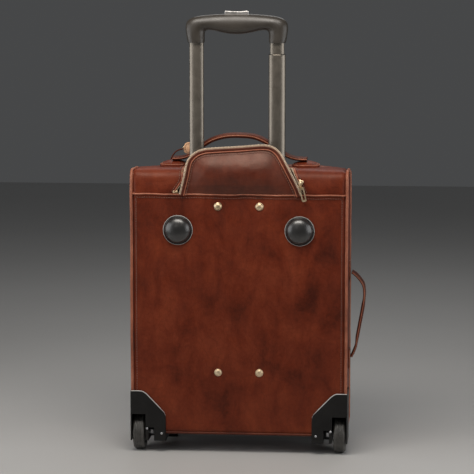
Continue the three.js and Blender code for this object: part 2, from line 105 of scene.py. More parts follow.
def ease(value):
    """A smooth step from 0 to 1."""
    value = clamp(value)
    return value * value * (3 - 2 * value)


def between(start, end, count):
    """The ends of count even steps from start to end."""
    return [start + (end - start) * i / count for i in range(count + 1)]


def turns(sides):
    """The angles of the corners of a ring."""
    return [math.tau * i / sides for i in range(sides)]


def line_at(points, value):
    """The second coordinate at value on a line through (first, second) points."""
    for (a, p), (b, q) in zip(points, points[1:]):
        if value <= b:
            return p + (q - p) * clamp((value - a) / (b - a))
    return points[-1][1]


def waves(x, y, z, size, depth):
    """Slow waves of leather that isn't stretched tight."""
    return depth * noise.fractal(Vector((x, y, z)) / size, 0.9, 2.1, 3)


# ---- camera, light and floor ---------------------------------------------------------------------------


def linked(name, data):
    """A new object in the scene, made of a mesh, a lamp or a camera."""
    obj = bpy.data.objects.new(name, data)
    bpy.context.collection.objects.link(obj)
    return obj


def make_camera():
    """The view of the photograph: from behind, a little from the right and from above."""
    look_down, look_left = math.radians(7.71), math.radians(4.96)
    data = bpy.data.cameras.new("camera")
    data.lens = 171.07
    data.sensor_width = 36
    camera = linked("camera", data)
    camera.location = (MID + 0.321, -3.83, 0.878)
    camera.rotation_euler = (math.pi / 2 - look_down, 0, look_left)
    bpy.context.scene.camera = camera


def area_light(name, location, target, size, power, color=(1, 1, 1)):
    data = bpy.data.lights.new(name, "AREA")
    data.shape = "RECTANGLE"
    data.size, data.size_y = size
    data.energy = power
    data.color = color
    light = linked(name, data)
    light.location = location
    light.rotation_euler = (Vector(target) - Vector(location)).to_track_quat("-Z", "Y").to_euler()


def make_lights():
    area_light("overhead", (-0.08, -0.60, 1.28), (-0.02, -0.1, 0.55), (0.8, 0.4), 10, (1, 0.94, 0.87))
    area_light("key", (-0.7, -3.0, 1.35), (0, 0, 0.42), (0.5, 0.5), 1.3, (1, 0.96, 0.91))
    area_light("left_strip", (-0.95, -0.42, 0.58), (0, -0.08, 0.54), (1.0, 0.7), 4.5)
    area_light("right_strip", (0.95, -0.42, 0.58), (0, -0.08, 0.54), (1.0, 0.7), 4.5)
    area_light("back_top", (0.2, 1.3, 1.9), (0, 0, 0.45), (1.5, 0.8), 9)
    world = bpy.data.worlds.new("studio")
    bpy.context.scene.world = world
    world.use_nodes = True
    background = world.node_tree.nodes["Background"]
    background.inputs["Color"].default_value = (0.86, 0.88, 0.9, 1)
    background.inputs["Strength"].default_value = 0.072
    bpy.context.scene.view_settings.view_transform = "Standard"


# ---- materials -----------------------------------------------------------------------------------------


class Shader:
    """A material being built: nodes are added by name, and sockets are linked as they are named."""

    def __init__(self, name, roughness=0.5, metallic=0.0, coat=0.0, coat_roughness=0.2, sheen=0.0):
        self.material = bpy.data.materials.new(name)
        self.material.use_nodes = True
        self.tree = self.material.node_tree
        self.surface = self.tree.nodes["Principled BSDF"]
        self.set(self.surface, {"Roughness": roughness, "Metallic": metallic, "Coat Weight": coat,
                                "Coat Roughness": coat_roughness, "Sheen Weight": sheen})
        self.place = self.add("ShaderNodeTexCoord").outputs["Object"]

    def set(self, target, values):
        for key, value in values.items():
            if isinstance(value, bpy.types.NodeSocket):
                self.tree.links.new(value, target.inputs[key])
            else:
                target.inputs[key].default_value = value

    def add(self, kind, inputs=None, **properties):
        made = self.tree.nodes.new(kind)
        for key, value in properties.items():
            setattr(made, key, value)
        self.set(made, inputs or {})
        return made

    def stretched(self, scale, turn=(0.0, 0.0, 0.0)):
        """Object coordinates, scaled and turned."""
        made = self.add("ShaderNodeMapping", {"Vector": self.place, "Rotation": turn, "Scale": scale})
        return made.outputs[0]

    def noise(self, scale, detail=4.0, rough=0.55, distortion=0.0, vector=None):
        made = self.add("ShaderNodeTexNoise", {"Vector": vector or self.place, "Scale": scale,
                                               "Detail": detail, "Roughness": rough,
                                               "Distortion": distortion})
        return made.outputs["Fac"]

    def cells(self, scale, feature="F1", vector=None):
        made = self.add("ShaderNodeTexVoronoi", {"Vector": vector or self.place, "Scale": scale},
                        feature=feature)
        return made.outputs["Distance"]

    def ramp(self, value, stops):
        made = self.add("ShaderNodeValToRGB", {"Fac": value})
        elements = made.color_ramp.elements
        while len(elements) < len(stops):
            elements.new(0.5)
        for element, (position, colour) in zip(elements, stops):
            element.position = position
            element.color = (*colour, 1)
        return made.outputs["Color"]

    def spread(self, value, low, high, out_low, out_high):
        made = self.add("ShaderNodeMapRange", {"Value": value, "From Min": low, "From Max": high,
                                               "To Min": out_low, "To Max": out_high})
        return made.outputs["Result"]

    def math(self, operation, a, b):
        made = self.add("ShaderNodeMath", operation=operation)
        self.set(made, {0: a, 1: b})
        return made.outputs[0]

    def faded(self, colour, other, factor):
        """Fades a colour socket towards another colour; 6, 7 and 2 are the node's colour sockets."""
        made = self.add("ShaderNodeMix", {"Factor": factor}, data_type="RGBA")
        self.set(made, {6: colour, 7: (*other, 1)})
        return made.outputs[2]

    def bump(self, *layers):
        """Stacks (height socket, distance in metres, strength) layers into one normal."""
        normal = None
        for height, distance, strength in layers:
            made = self.add("ShaderNodeBump", {"Height": height, "Distance": distance, "Strength": strength})
            if normal:
                self.set(made, {"Normal": normal})
            normal = made.outputs["Normal"]
        self.set(self.surface, {"Normal": normal})

    def finish(self, **values):
        self.set(self.surface, {key.replace("_", " "): value for key, value in values.items()})
        return self.material


def leather_material(name, dark, base, light, gloss=0.0, grain=1.0, shine=0.26):
    """Pull-up leather: cloudy mottling, paler wax marks, pebbled grain and fine creases, with painted shade
    darkening the creases.
    """
    s = Shader(name, coat=0.05 + gloss, coat_roughness=0.36)
    s.set(s.surface, {"Specular IOR Level": shine, "Specular Tint": (1, 0.74, 0.6, 1),
                      "Coat Tint": (1, 0.8, 0.7, 1)})
    cloud = s.noise(11.0, 7.0, 0.62, 0.5)
    streak = s.noise(30.0, 6.0, 0.6, 0.8, s.stretched((1.0, 1.0, 0.45)))
    fleck = s.noise(180.0, 3.0, 0.6)
    tone = s.math("ADD", s.math("MULTIPLY", cloud, 0.52), s.math("MULTIPLY", streak, 0.36))
    tone = s.math("ADD", tone, s.math("MULTIPLY", fleck, 0.12))
    colour = s.ramp(tone, [(0.36, dark), (0.5, base), (0.66, light)])
    creases = s.cells(85.0, "DISTANCE_TO_EDGE", s.stretched((1.0, 1.0, 0.6), (0.4, 0.3, 0.7)))
    crease_line = s.spread(creases, 0.0, 0.06, 0.0, 1.0)
    # painted shade: the colour is darkened along the crease lines, where shade would lie in the grooves
    crease_painted_shade = s.math("MULTIPLY", s.math("SUBTRACT", 1.0, crease_line), 0.16)
    s.bump((s.noise(55.0, 5.0, 0.6, 0.3), 1.2 * MM, 0.25), (crease_line, 0.12 * MM, 0.35 * grain),
           (s.cells(760.0), 0.28 * MM, 0.4 * grain), (s.noise(2400.0, 2.0), 0.08 * MM, 0.3))
    return s.finish(Base_Color=s.faded(colour, dark, crease_painted_shade),
                    Roughness=s.spread(s.noise(38.0, 4.0), 0.3, 0.7, 0.4, 0.58))


def fabric_material(name, dark, light, pitch, rough=0.9):
    """Plain weave: two crossed sets of threads, with slubs in the colour."""
    s = Shader(name, roughness=rough, sheen=0.25)
    threads = []
    for turn in (0.0, math.pi / 2):
        wave = s.add("ShaderNodeTexWave", {"Vector": s.stretched((1, 1, 1), (0.35, turn + 0.2, 0.785)),
                                           "Scale": 0.31 / pitch, "Distortion": 0.4, "Detail": 1.0,
                                           "Detail Scale": 2.0}, bands_direction="X")
        threads.append(wave.outputs["Fac"])
    weave = s.math("MAXIMUM", *threads)
    tone = s.math("ADD", s.math("MULTIPLY", weave, 0.55), s.math("MULTIPLY", s.noise(140.0, 5.0, 0.7), 0.45))
    s.bump((weave, pitch * 0.35, 0.7), (s.noise(900.0, 2.0), 0.1 * MM, 0.3))
    return s.finish(Base_Color=s.ramp(tone, [(0.25, dark), (0.75, light)]))


def metal_material(name, dark, light, rough_low, rough_high, brushed=None, pits=0.15):
    """Metal with handling marks; brushed gives the stretch of its grain along X, Y and Z."""
    s = Shader(name, metallic=1.0)
    smear = s.noise(70.0, 5.0, 0.65, 0.6)
    fine = s.noise(900.0, 3.0, 0.6, 0.0, s.stretched(brushed)) if brushed else s.noise(700.0, 3.0)
    s.bump((fine, 0.05 * MM, 0.25), (s.cells(420.0), 0.12 * MM, pits))
    rough = s.spread(s.math("ADD", s.math("MULTIPLY", smear, 0.6), s.math("MULTIPLY", fine, 0.4)),
                     0.3, 0.7, rough_low, rough_high)
    return s.finish(Base_Color=s.ramp(smear, [(0.3, dark), (0.7, light)]), Roughness=rough)


def plastic_material(name, dark, light, rough_low, rough_high, texture=0.3, coat=0.0, shine=0.3):
    """Moulded plastic: spark-eroded texture, slight colour drift and rubbed patches."""
    s = Shader(name, coat=coat, coat_roughness=0.12)
    s.set(s.surface, {"Specular IOR Level": shine})
    drift = s.noise(24.0, 5.0, 0.6)
    s.bump((s.noise(1500.0, 2.0), 0.09 * MM, texture), (drift, 0.5 * MM, 0.08))
    rough = s.spread(s.noise(60.0, 5.0, 0.7, 0.4), 0.35, 0.65, rough_low, rough_high)
    return s.finish(Base_Color=s.ramp(drift, [(0.35, dark), (0.65, light)]), Roughness=rough)


def rubber_material():
    s = Shader("tyre_rubber", coat=0.22, coat_roughness=0.3)
    dust = s.noise(120.0, 6.0, 0.7)
    s.bump((s.noise(800.0, 3.0), 0.12 * MM, 0.35))
    colour = s.ramp(dust, [(0.35, (0.030, 0.028, 0.025)), (0.7, (0.075, 0.071, 0.064))])
    return s.finish(Base_Color=colour, Roughness=s.spread(dust, 0.3, 0.7, 0.34, 0.55))


def floor_material():
    s = Shader("studio_floor")
    colour = s.ramp(s.noise(1.5, 3.0), [(0.3, (0.50, 0.495, 0.485)), (0.7, (0.53, 0.525, 0.515))])
    return s.finish(Base_Color=colour, Roughness=s.spread(s.noise(500.0), 0.3, 0.7, 0.34, 0.40))


def make_materials():
    """Every material by its short name; the colours go from dark to light."""
    return {
        "leather": leather_material("chestnut_leather", (0.048, 0.0068, 0.0029), (0.120, 0.0185, 0.0068),
                                    (0.190, 0.036, 0.0132)),
        # painted highlight: a much paler copy of the leather for piping, folded edges, bindings and edge
        # beads, standing in for the catch-light on them, partly also burnished wear
        "leather_edge_highlight": leather_material("edge_leather_painted_highlight", (0.13, 0.036, 0.020), (0.30, 0.10, 0.056),
                                         (0.46, 0.20, 0.125), gloss=0.12, grain=0.5, shine=0.5),
        # the straps' own dark leather; on the bottom panel and the bottom piping it is painted shade
        "leather_dark": leather_material("dark_strap_leather_and_bottom_shade", (0.030, 0.0065, 0.004),
                                         (0.072, 0.0145, 0.0075), (0.12, 0.029, 0.014)),
        # painted shade: a darker copy of the chestnut leather for the handle cover, standing in for the shade
        # on the flap
        "leather_cover_shaded": leather_material("cover_leather", (0.034, 0.0052, 0.0024), (0.082, 0.0130, 0.0054),
                                          (0.135, 0.027, 0.0112), gloss=0.07, shine=0.55),
        "tan": leather_material("tan_tag_leather", (0.50, 0.25, 0.13), (0.72, 0.43, 0.25),
                                (0.85, 0.58, 0.38)),
        "thread": fabric_material("sewing_thread", (0.055, 0.018, 0.010), (0.20, 0.085, 0.050), 0.5 * MM),
        "tape": fabric_material("zip_tape", (0.22, 0.145, 0.09), (0.46, 0.33, 0.23), 0.55 * MM),
        "teeth": fabric_material("zip_coil", (0.42, 0.30, 0.20), (0.70, 0.55, 0.41), 0.4 * MM, 0.45),
        "lining": fabric_material("lining_cloth", (0.20, 0.13, 0.07), (0.40, 0.29, 0.17), 0.8 * MM),
        "brass": metal_material("pale_brass", (0.60, 0.43, 0.25), (0.92, 0.76, 0.53), 0.36, 0.52),
        "steel": metal_material("zinc_steel", (0.42, 0.43, 0.45), (0.62, 0.62, 0.63), 0.25, 0.45),
        "chrome": metal_material("satin_chrome", (0.52, 0.50, 0.48), (0.78, 0.76, 0.74), 0.28, 0.40,
                                 (0.05, 1.0, 1.0), 0.05),
        "tube": metal_material("gunmetal_tube", (0.215, 0.19, 0.16), (0.27, 0.242, 0.205), 0.38, 0.46,
                               (1.0, 1.0, 0.02), 0.02),
        "black": plastic_material("black_moulding", (0.0045, 0.0042, 0.004), (0.009, 0.0085, 0.008),
                                  0.34, 0.5, 0.35),
        "gloss_black": plastic_material("gloss_black_dome", (0.008, 0.0078, 0.0075), (0.014, 0.0135, 0.013),
                                        0.30, 0.38, 0.05, 0.16, 0.95),
        "grip": plastic_material("taupe_grip", (0.023, 0.0190, 0.0150), (0.036, 0.0305, 0.0245),
                                 0.34, 0.46, 0.4, shine=0.6),
        # painted highlight: pale grey plastic for the thin bead on each corner guard's edge and for the
        # bumper rims, standing in for the catch-light there
        "rim": plastic_material("pale_plastic_edge_painted_highlight", (0.34, 0.33, 0.31), (0.55, 0.54, 0.52),
                                0.22, 0.35, 0.2),
        "hub": plastic_material("grey_hub", (0.03, 0.029, 0.027), (0.06, 0.058, 0.055), 0.4, 0.55, 0.35),
        "rubber": rubber_material(),
        "floor": floor_material(),
    }


# ---- mesh building -------------------------------------------------------------------------------------


def piece(name, geometry, material, body, replaces=(), smooth=60):
    """Makes an object from (verts, faces), smoothed below the given angle, that rides on a CAD body."""
    verts, faces = geometry
    mesh = bpy.data.meshes.new(name)
    mesh.from_pydata([tuple(v) for v in verts], [], faces)
    mesh.materials.append(MAT[material])
    build = bmesh.new()
    build.from_mesh(mesh)
    bmesh.ops.recalc_face_normals(build, faces=build.faces)
    build.to_mesh(mesh)
    build.free()
    mesh.shade_smooth()
    mesh.set_sharp_from_angle(angle=math.radians(smooth))
    return settled(linked(name, mesh), body, replaces)


def settled(obj, body, replaces):
    """Gives an object its CAD body and the CAD nodes that it stands for."""
    if body:
        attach(obj, body)
    if replaces:
        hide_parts(*replaces)
    return obj


def joined(parts):
    """Several (verts, faces) as one."""
    verts, faces = [], []
    for part_verts, part_faces in parts:
        base = len(verts)
        verts.extend(part_verts)
        faces.extend([base + i for i in face] for face in part_faces)
    return verts, faces


def strip(rings, capped=True):
    """Joins rings of equal length into a body; each ring closes on itself."""
    count = len(rings[0])
    verts = [v for ring in rings for v in ring]
    faces = []
    for r in range(len(rings) - 1):
        for i in range(count):
            j = (i + 1) % count
            faces.append([r * count + i, r * count + j, (r + 1) * count + j, (r + 1) * count + i])
    if capped:
        faces.append(list(range(count)))
        faces.append([(len(rings) - 1) * count + i for i in reversed(range(count))])
    return verts, faces


def ring_body(rings):
    """Joins rings in a closed cycle, as a loop of piping has."""
    verts, faces = strip(rings, capped=False)
    count, last = len(rings[0]), (len(rings) - 1) * len(rings[0])
    for i in range(count):
        j = (i + 1) % count
        faces.append([last + i, last + j, j, i])
    return verts, faces


def circle(radius, sides=12):
    return [(radius * math.cos(angle), radius * math.sin(angle)) for angle in turns(sides)]


def rounded(width, height, radius, steps=5):
    """A rectangle with round corners, as (x, y) points."""
    points = []
    for quarter, (sx, sy) in enumerate(((1, 1), (-1, 1), (-1, -1), (1, -1))):
        for i in range(steps + 1):
            angle = (quarter + i / steps) * math.pi / 2
            points.append((sx * (width / 2 - radius) + radius * math.cos(angle),
                           sy * (height / 2 - radius) + radius * math.sin(angle)))
    return points


def tangents(path, closed):
    found = []
    for i in range(len(path)):
        before = path[i - 1] if closed or i else path[i]
        after = path[(i + 1) % len(path)] if closed or i < len(path) - 1 else path[i]
        found.append((after - before).normalized())
    return found


def sweep(path, section, across, closed=False, swell=None):
    """Runs a section along a path. Its first axis lies along across, its second is square to both."""
    rings = []
    for i, (point, along) in enumerate(zip(path, tangents(path, closed))):
        side = (across - along * across.dot(along)).normalized()
        out = side.cross(along)
        grow = swell(i / (len(path) - 1)) if swell else (1, 1)
        rings.append([point + side * (a * grow[0]) + out * (b * grow[1]) for a, b in section])
    return ring_body(rings) if closed else strip(rings)


def resampled(path, spacing, closed=False):
    """Points at an even spacing along a path."""
    points = list(path) + ([path[0]] if closed else [])
    lengths = [0.0]
    for a, b in zip(points, points[1:]):
        lengths.append(lengths[-1] + (b - a).length)
    count = max(2, round(lengths[-1] / spacing))
    found, k = [], 0
    for i in range(count + 1):
        want = lengths[-1] * i / count
        while k < len(points) - 2 and lengths[k + 1] < want:
            k += 1
        step = max(lengths[k + 1] - lengths[k], 1e-9)
        found.append(points[k].lerp(points[k + 1], (want - lengths[k]) / step))
    return found


def smooth_path(points, count):
    """A smooth curve through a few points, as count even steps."""
    found = []
    padded = [points[0] * 2 - points[1], *points, points[-1] * 2 - points[-2]]
    for k in range(len(points) - 1):
        a, b, c, d = padded[k:k + 4]
        for i in range(12):
            t = i / 12
            found.append(0.5 * ((2 * b) + (c - a) * t + (2 * a - 5 * b + 4 * c - d) * t * t
                                + (3 * b - a - 3 * c + d) * t ** 3))
    found.append(points[-1].copy())
    total = sum((b - a).length for a, b in zip(found, found[1:]))
    return resampled(found, total / count)


def stitches(name, paths, outward, body, spacing=4.2 * MM, length=3.1 * MM, thick=0.55 * MM):
    """Rows of thread that sit on a surface: each stitch is a short bead, its ends sunk into the leather."""
    beads = []
    for path in paths:
        points = resampled(path, spacing)
        for a, b in zip(points, points[1:]):
            along, middle = (b - a).normalized(), (a + b) / 2
            up = outward(middle) if callable(outward) else outward
            side = along.cross(up).normalized()
            up = side.cross(along)
            rings = []
            for t, grow, lift in ((-0.5, 0.35, -0.5), (-0.3, 0.9, 0.25), (0.0, 1.0, 0.45), (0.3, 0.9, 0.25),
                                  (0.5, 0.35, -0.5)):
                place = middle + along * (t * length) + up * (lift * thick)
                rings.append([place + (side * math.cos(w) + up * math.sin(w)) * (thick * grow)
                              for w in turns(6)])
            beads.append(strip(rings))
    return piece(name, joined(beads), "thread", body, smooth=80)


def zip_teeth(name, path, across, out, body, size=(2.6, 1.3, 1.5)):
    """A row of coil teeth along a path: each is a small rounded block across it."""
    blocks = []
    points = resampled(path, 2.4 * MM)
    long, wide, high = (value * MM for value in size)
    profile = ((0.5, 0.3), (0.25, 0.5), (-0.25, 0.5), (-0.5, 0.3), (-0.5, -0.5), (0.5, -0.5))
    for a, b in zip(points, points[1:]):
        along = (b - a).normalized()
        up = out(a) if callable(out) else out
        side = across(a) if callable(across) else across
        rings = []
        for t, grow in ((-0.5, 0.7), (-0.25, 1.0), (0.25, 1.0), (0.5, 0.6)):
            place = (a + b) / 2 + side * (t * long)
            rings.append([place + along * (u * wide * grow) + up * (v * high * grow) for u, v in profile])
        blocks.append(strip(rings))
    return piece(name, joined(blocks), "teeth", body, smooth=40)


def turned(profile, sides=48):
    """The rings of a body turned round Z, one for each (radius, height) of its profile."""
    return [[Vector((x, y, height)) for x, y in circle(max(radius, 1e-6), sides)]
            for radius, height in profile]


def placed(geometry, matrix):
    """Moves (verts, faces) by a matrix."""
    verts, faces = geometry
    return [matrix @ Vector(v) for v in verts], faces


TO_REAR = Matrix.Rotation(math.pi / 2, 4, "X")    # +Z of a turned body looks along -Y
TO_SIDE = Matrix.Rotation(math.pi / 2, 4, "Y")    # +Z of a turned body looks along +X


def refined(node, name, material, body, bevel=0.6 * MM, segments=2, angle=35):
    """A copy of a CAD node with its flat facets joined and its edges broken by a small bevel."""
    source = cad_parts[node]
    obj = source.copy()
    obj.data = source.data.copy()
    obj.name = obj.data.name = name
    for key in list(obj.keys()):
        if key.startswith("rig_"):
            del obj[key]
    bpy.context.collection.objects.link(obj)
    build = bmesh.new()
    build.from_mesh(obj.data)
    bmesh.ops.remove_doubles(build, verts=build.verts, dist=1e-6)
    bmesh.ops.dissolve_limit(build, angle_limit=math.radians(1), verts=build.verts, edges=build.edges)
    build.to_mesh(obj.data)
    build.free()
    obj.data.materials.clear()
    obj.data.materials.append(MAT[material])
    obj.data.shade_smooth()
    obj.data.set_sharp_from_angle(angle=math.radians(angle))
    broken = obj.modifiers.new("broken_edges", "BEVEL")
    broken.width, broken.segments, broken.limit_method = bevel, segments, "ANGLE"
    broken.angle_limit = math.radians(angle)
    broken.harden_normals = True
    if not body:
        obj.parent = None
        obj.matrix_world = source.matrix_world.copy()
    return settled(obj, body, (node,))


def layered(grid, thickness, keep=None, flip=1):
    """A sheet with thickness from rows of points; cells can be left out, and every border is closed."""
    rows, cols = len(grid), len(grid[0])

    def under(r, c):
        across = grid[r][min(c + 1, cols - 1)] - grid[r][max(c - 1, 0)]
        down = grid[min(r + 1, rows - 1)][c] - grid[max(r - 1, 0)][c]
        return grid[r][c] - across.cross(down).normalized() * (thickness * flip)

    verts = [grid[r][c] for r in range(rows) for c in range(cols)]
    verts += [under(r, c) for r in range(rows) for c in range(cols)]
    kept = {(r, c) for r in range(rows - 1) for c in range(cols - 1) if keep is None or keep(r, c)}
    faces, low = [], rows * cols
    for r, c in kept:
        a, b = r * cols + c, r * cols + c + 1
        d, e = a + cols, b + cols
        faces += [[a, b, e, d], [low + d, low + e, low + b, low + a]]
        for step, p, q in (((-1, 0), b, a), ((1, 0), d, e), ((0, -1), a, d), ((0, 1), e, b)):
            if (r + step[0], c + step[1]) not in kept:
                faces.append([p, q, low + q, low + p])
    used = sorted({i for face in faces for i in face})
    place = {old: new for new, old in enumerate(used)}
    return [verts[i] for i in used], [[place[i] for i in face] for face in faces]


# ---- leather shell of the case -------------------------------------------------------------------------

GUARD_SLOPE = ((GUARD_LOW.z, GUARD_INNER), (58 * MM, GUARD_INNER), (72 * MM, GUARD_INNER + 5 * MM),
               (97 * MM, GUARD_INNER + 29 * MM), (GUARD_HIGH.z, GUARD_INNER + 44 * MM))
RIVETS = [centre(f"rivet_{level}_{side}") for level in ("upper", "lower") for side, _ in SIDES]
BUMPERS = [centre(f"rear_bumper_{side}") for side, _ in SIDES]


def under_guard(x, z):
    """True well inside the rear outline of a corner guard."""
    return z < GUARD_HIGH.z - TUCK and abs(x) > line_at(GUARD_SLOPE, z) + TUCK


def seam_height(x):
    """The height of the slightly wavy seam between the rear leather and the band above it."""
    return SEAM + waves(x, 0, 0, 45 * MM, 1.1 * MM) + 0.5 * MM


def rear_depth(x, z):
    """How far the rear leather stands out at a place: crowned, pulled in at rivets and at its edges."""
    across, up = abs(x) / HALF, (z - BOTTOM) / (SEAM - BOTTOM)
    out = 1.3 * MM * (1 - across ** 4) * (1 - abs(2 * up - 1) ** 4) + waves(x, 0, z, 80 * MM, 0.7 * MM)
    out += waves(x * 1.6, 7, z, 22 * MM, 0.22 * MM)
    edge = min(HALF - 3.4 * MM - abs(x), z - BOTTOM)
    out -= 4.6 * MM * clamp(1 - edge / (6.5 * MM)) ** 2
    out += 1.5 * MM * ease(1 - (SEAM - z) / (9 * MM))
    for places, dip, reach, power in ((RIVETS, 1.5 * MM, 11 * MM, 2), (BUMPERS, 1.0 * MM, 27 * MM, 6)):
        for place in places:
            away = math.hypot(x - place.x + MID, z - place.z)
            out -= dip * math.exp(-(away / reach) ** power)
    return REAR - out


def make_rear():
    limit = HALF - 3.4 * MM
    columns = between(-limit, limit, 124)
    grid = []
    for level in between(0.0, 1.0, 140):
        row = []
        for x in columns:
            z = BOTTOM + level * (seam_height(x) - BOTTOM)
            row.append(Vector((MID + x, rear_depth(x, z), z)))
        grid.append(row)

    def keep(r, c):
        return not under_guard(columns[c] if columns[c] > 0 else columns[c + 1], grid[r][c].z)

    piece("rear_leather", layered(grid, HIDE, keep), "leather", "case",
          ("rear_panel", "rear_stiffener"))
    edge = [Vector((MID + x, rear_depth(x, SEAM) - 0.1 * MM, seam_height(x) + 0.2 * MM)) for x in columns]
    bead = [(a * 1.3, b) for a, b in circle(1.5 * MM, 10)]
    piece("rear_folded_edge", sweep(edge, bead, FORWARD), "leather_edge_highlight", "case")
    drop, inset = 5.5 * MM, 9.5 * MM
    rows = [[Vector((MID + x, rear_depth(x, seam_height(x) - drop) - 0.1 * MM, seam_height(x) - drop))
             for x in columns[2:-2]]]
    for x in (-HALF + inset, HALF - inset):
        rows.append([Vector((MID + x, rear_depth(x, z), z))
                     for z in between(GUARD_HIGH.z + 2 * MM, SEAM - 6 * MM, 60)])
    stitches("rear_stitching", rows, -FORWARD, "case")


def top_height(x, y):
    """Height of the soft top: level round the carry handle, then falling to the lid and to its corners."""
    back = clamp((y - REAR - 10 * MM) / (LID_FRONT - REAR - 10 * MM))
    corner = clamp(1 - (HALF - abs(x)) / (75 * MM)) ** 1.7
    slope = ease((y - FRONT + 80 * MM) / (84 * MM)) * (TOP - LID_HIGH.z + 0.5 * MM)
    crown = 1.5 * MM * (1 - (x / HALF) ** 2) * (1 - back)
    return TOP - 1 * MM + crown - slope - CORNER_SAG * corner * back - 0.6 * MM * corner


def wrap_point(row, x):
    """A place on the leather that runs from the seam up the rear and over the top to the front edge."""
    part, t = row
    lip, gap, front = 2.5 * MM, 0.8 * MM, FRONT - 2.5 * MM
    side = clamp(1 - (HALF - abs(x)) / (30 * MM))
    radius = SHOULDER + (SHELL_CORNER - SHOULDER) * side
    start = REAR + gap + radius
    top = top_height(x, start)
    foot = SEAM - 5 * MM
    sunk = 3.0 * MM * clamp(1 - (HALF - 3.2 * MM - abs(x)) / (6 * MM)) ** 2
    if part == "wall":
        z = foot + (top - radius - foot) * t
        bulge = 1.6 * MM * math.sin(math.pi * t) * (1 - side * side)
        return Vector((MID + x, REAR + gap + sunk - bulge + waves(x, 3, z, 50 * MM, 0.9 * MM), z))
    if part == "arc":
        angle = t * math.pi / 2
        slack = waves(x, 3, top, 50 * MM, 0.9 * MM) * math.cos(angle)
        reach = radius - sunk
        return Vector((MID + x, start - reach * math.cos(angle) + slack,
                       top - radius + reach * math.sin(angle)))
    if part == "back":
        y = start + (WELL_FRONT - start) * t
    elif part == "front":
        y = WELL_FRONT + (front - WELL_FRONT) * t
    else:
        angle = t * math.pi / 2
        return Vector((MID + x, front + lip * math.sin(angle),
                       top_height(x, FRONT) - sunk - lip + lip * math.cos(angle)))
    rise = waves(x, y, 0, 60 * MM, 1.0 * MM) * ease((y - start) / (20 * MM)) * ease((FRONT - y) / (12 * MM))
    return Vector((MID + x, y, top_height(x, y) - sunk + rise))


# The rows of that leather, each as its part of the way and how far along it.
WRAP_ROWS = ([("wall", t) for t in between(0, 1, 9)] + [("arc", t) for t in between(0, 1, 9)[1:]]
             + [("back", t) for t in between(0, 1, 6)[1:]] + [("front", t) for t in between(0, 1, 30)[1:]]
             + [("lip", 0.4), ("lip", 0.7), ("lip", 1.0)])
WELL_ROW = WRAP_ROWS.index(("back", 1.0))


def mouth_edge(row, side):
    """Where the opening for the pull handle begins, in a row of the wrap."""
    part, t = row
    z = wrap_point(row, 0.0).z
    if side < 0:
        return line_at(((SEAM, -112 * MM), (SEAM + 25 * MM, -95 * MM), (TOP, WELL_LEFT)), z)
    edge, corner = WELL_RIGHT + 1 * MM, 92 * MM
    if part in ("wall", "arc"):
        return line_at(((SEAM, 112 * MM), (TOP - 8 * MM, 96 * MM), (TOP, corner)), z)
    return max(edge, corner - 6 * MM * t) if part == "back" else edge


def make_wrap():
    """The leather over the top, and the path round its opening with the way into the opening."""
    limit = HALF - 3.2 * MM
    beside, across = 22, 38    # columns on each side of the opening, and over it
    grid = []
    for row in WRAP_ROWS:
        left, right = mouth_edge(row, -1), mouth_edge(row, 1)
        columns = between(-limit, left, beside) + between(left, right, across)[1:]
        columns += between(right, limit, beside)[1:]
        grid.append([wrap_point(row, x) for x in columns])

    def keep(r, c):
        return r >= WELL_ROW or not beside <= c < beside + across

    piece("top_leather", layered(grid, SIDE_HIDE, keep), "leather", "case",
          ("shoulder_left", "shoulder_right", "top_gusset"))

    rows = WRAP_ROWS[:WELL_ROW]
    corner = WRAP_ROWS[WELL_ROW]
    path = [(wrap_point(row, mouth_edge(row, -1)), RIGHT) for row in rows]
    for x in between(mouth_edge(corner, -1) + 6 * MM, mouth_edge(corner, 1) - 6 * MM, 30):
        path.append((wrap_point(corner, x), -FORWARD))
    path += [(wrap_point(row, mouth_edge(row, 1)), -RIGHT) for row in reversed(rows)]
    return path[3:-3]


def wrap_outward(point):
    """The way out of the wrap's surface at a place on it."""
    away = point - Vector((point.x, REAR + SHOULDER + 1 * MM, TOP - SHOULDER))
    if away.z < 0:
        return -FORWARD
    if away.y > 0:
        return UP.copy()
    return away.normalized()


def make_mouth_zip(path):
    """The half of the handle cover's zip that is sewn round the opening for the pull handle."""
    rings, inner, beads, stitched = [], [], [], []
    for point, inward in path:
        out = wrap_outward(point)
        base = point - out * 1.3 * MM
        edge, back = base + inward * 3.3 * MM, base - inward * 2 * MM
        rings.append([back, edge, edge - out * 0.7 * MM, back - out * 0.7 * MM])
        inner.append((base + inward * 2.6 * MM + out * 0.3 * MM, inward))
        bound = point + out * 0.1 * MM
        up = wrap_outward(bound)
        beads.append([bound + inward * (1.5 * MM * math.cos(a)) + up * (1.2 * MM * math.sin(a))
                      for a in turns(10)])
        stitched.append(point - inward * 4.5 * MM + out * 0.3 * MM)

    def across(point):
        return min(inner, key=lambda place: (place[0] - point).length_squared)[1]

    piece("mouth_zip_tape", strip(rings), "tape", "case")
    zip_teeth("mouth_zip_teeth", [place for place, inward in inner], across, wrap_outward, "case")
    piece("mouth_edge_binding", strip(beads), "leather_edge_highlight", "case")
    stitches("mouth_stitching", [stitched], wrap_outward, "case")


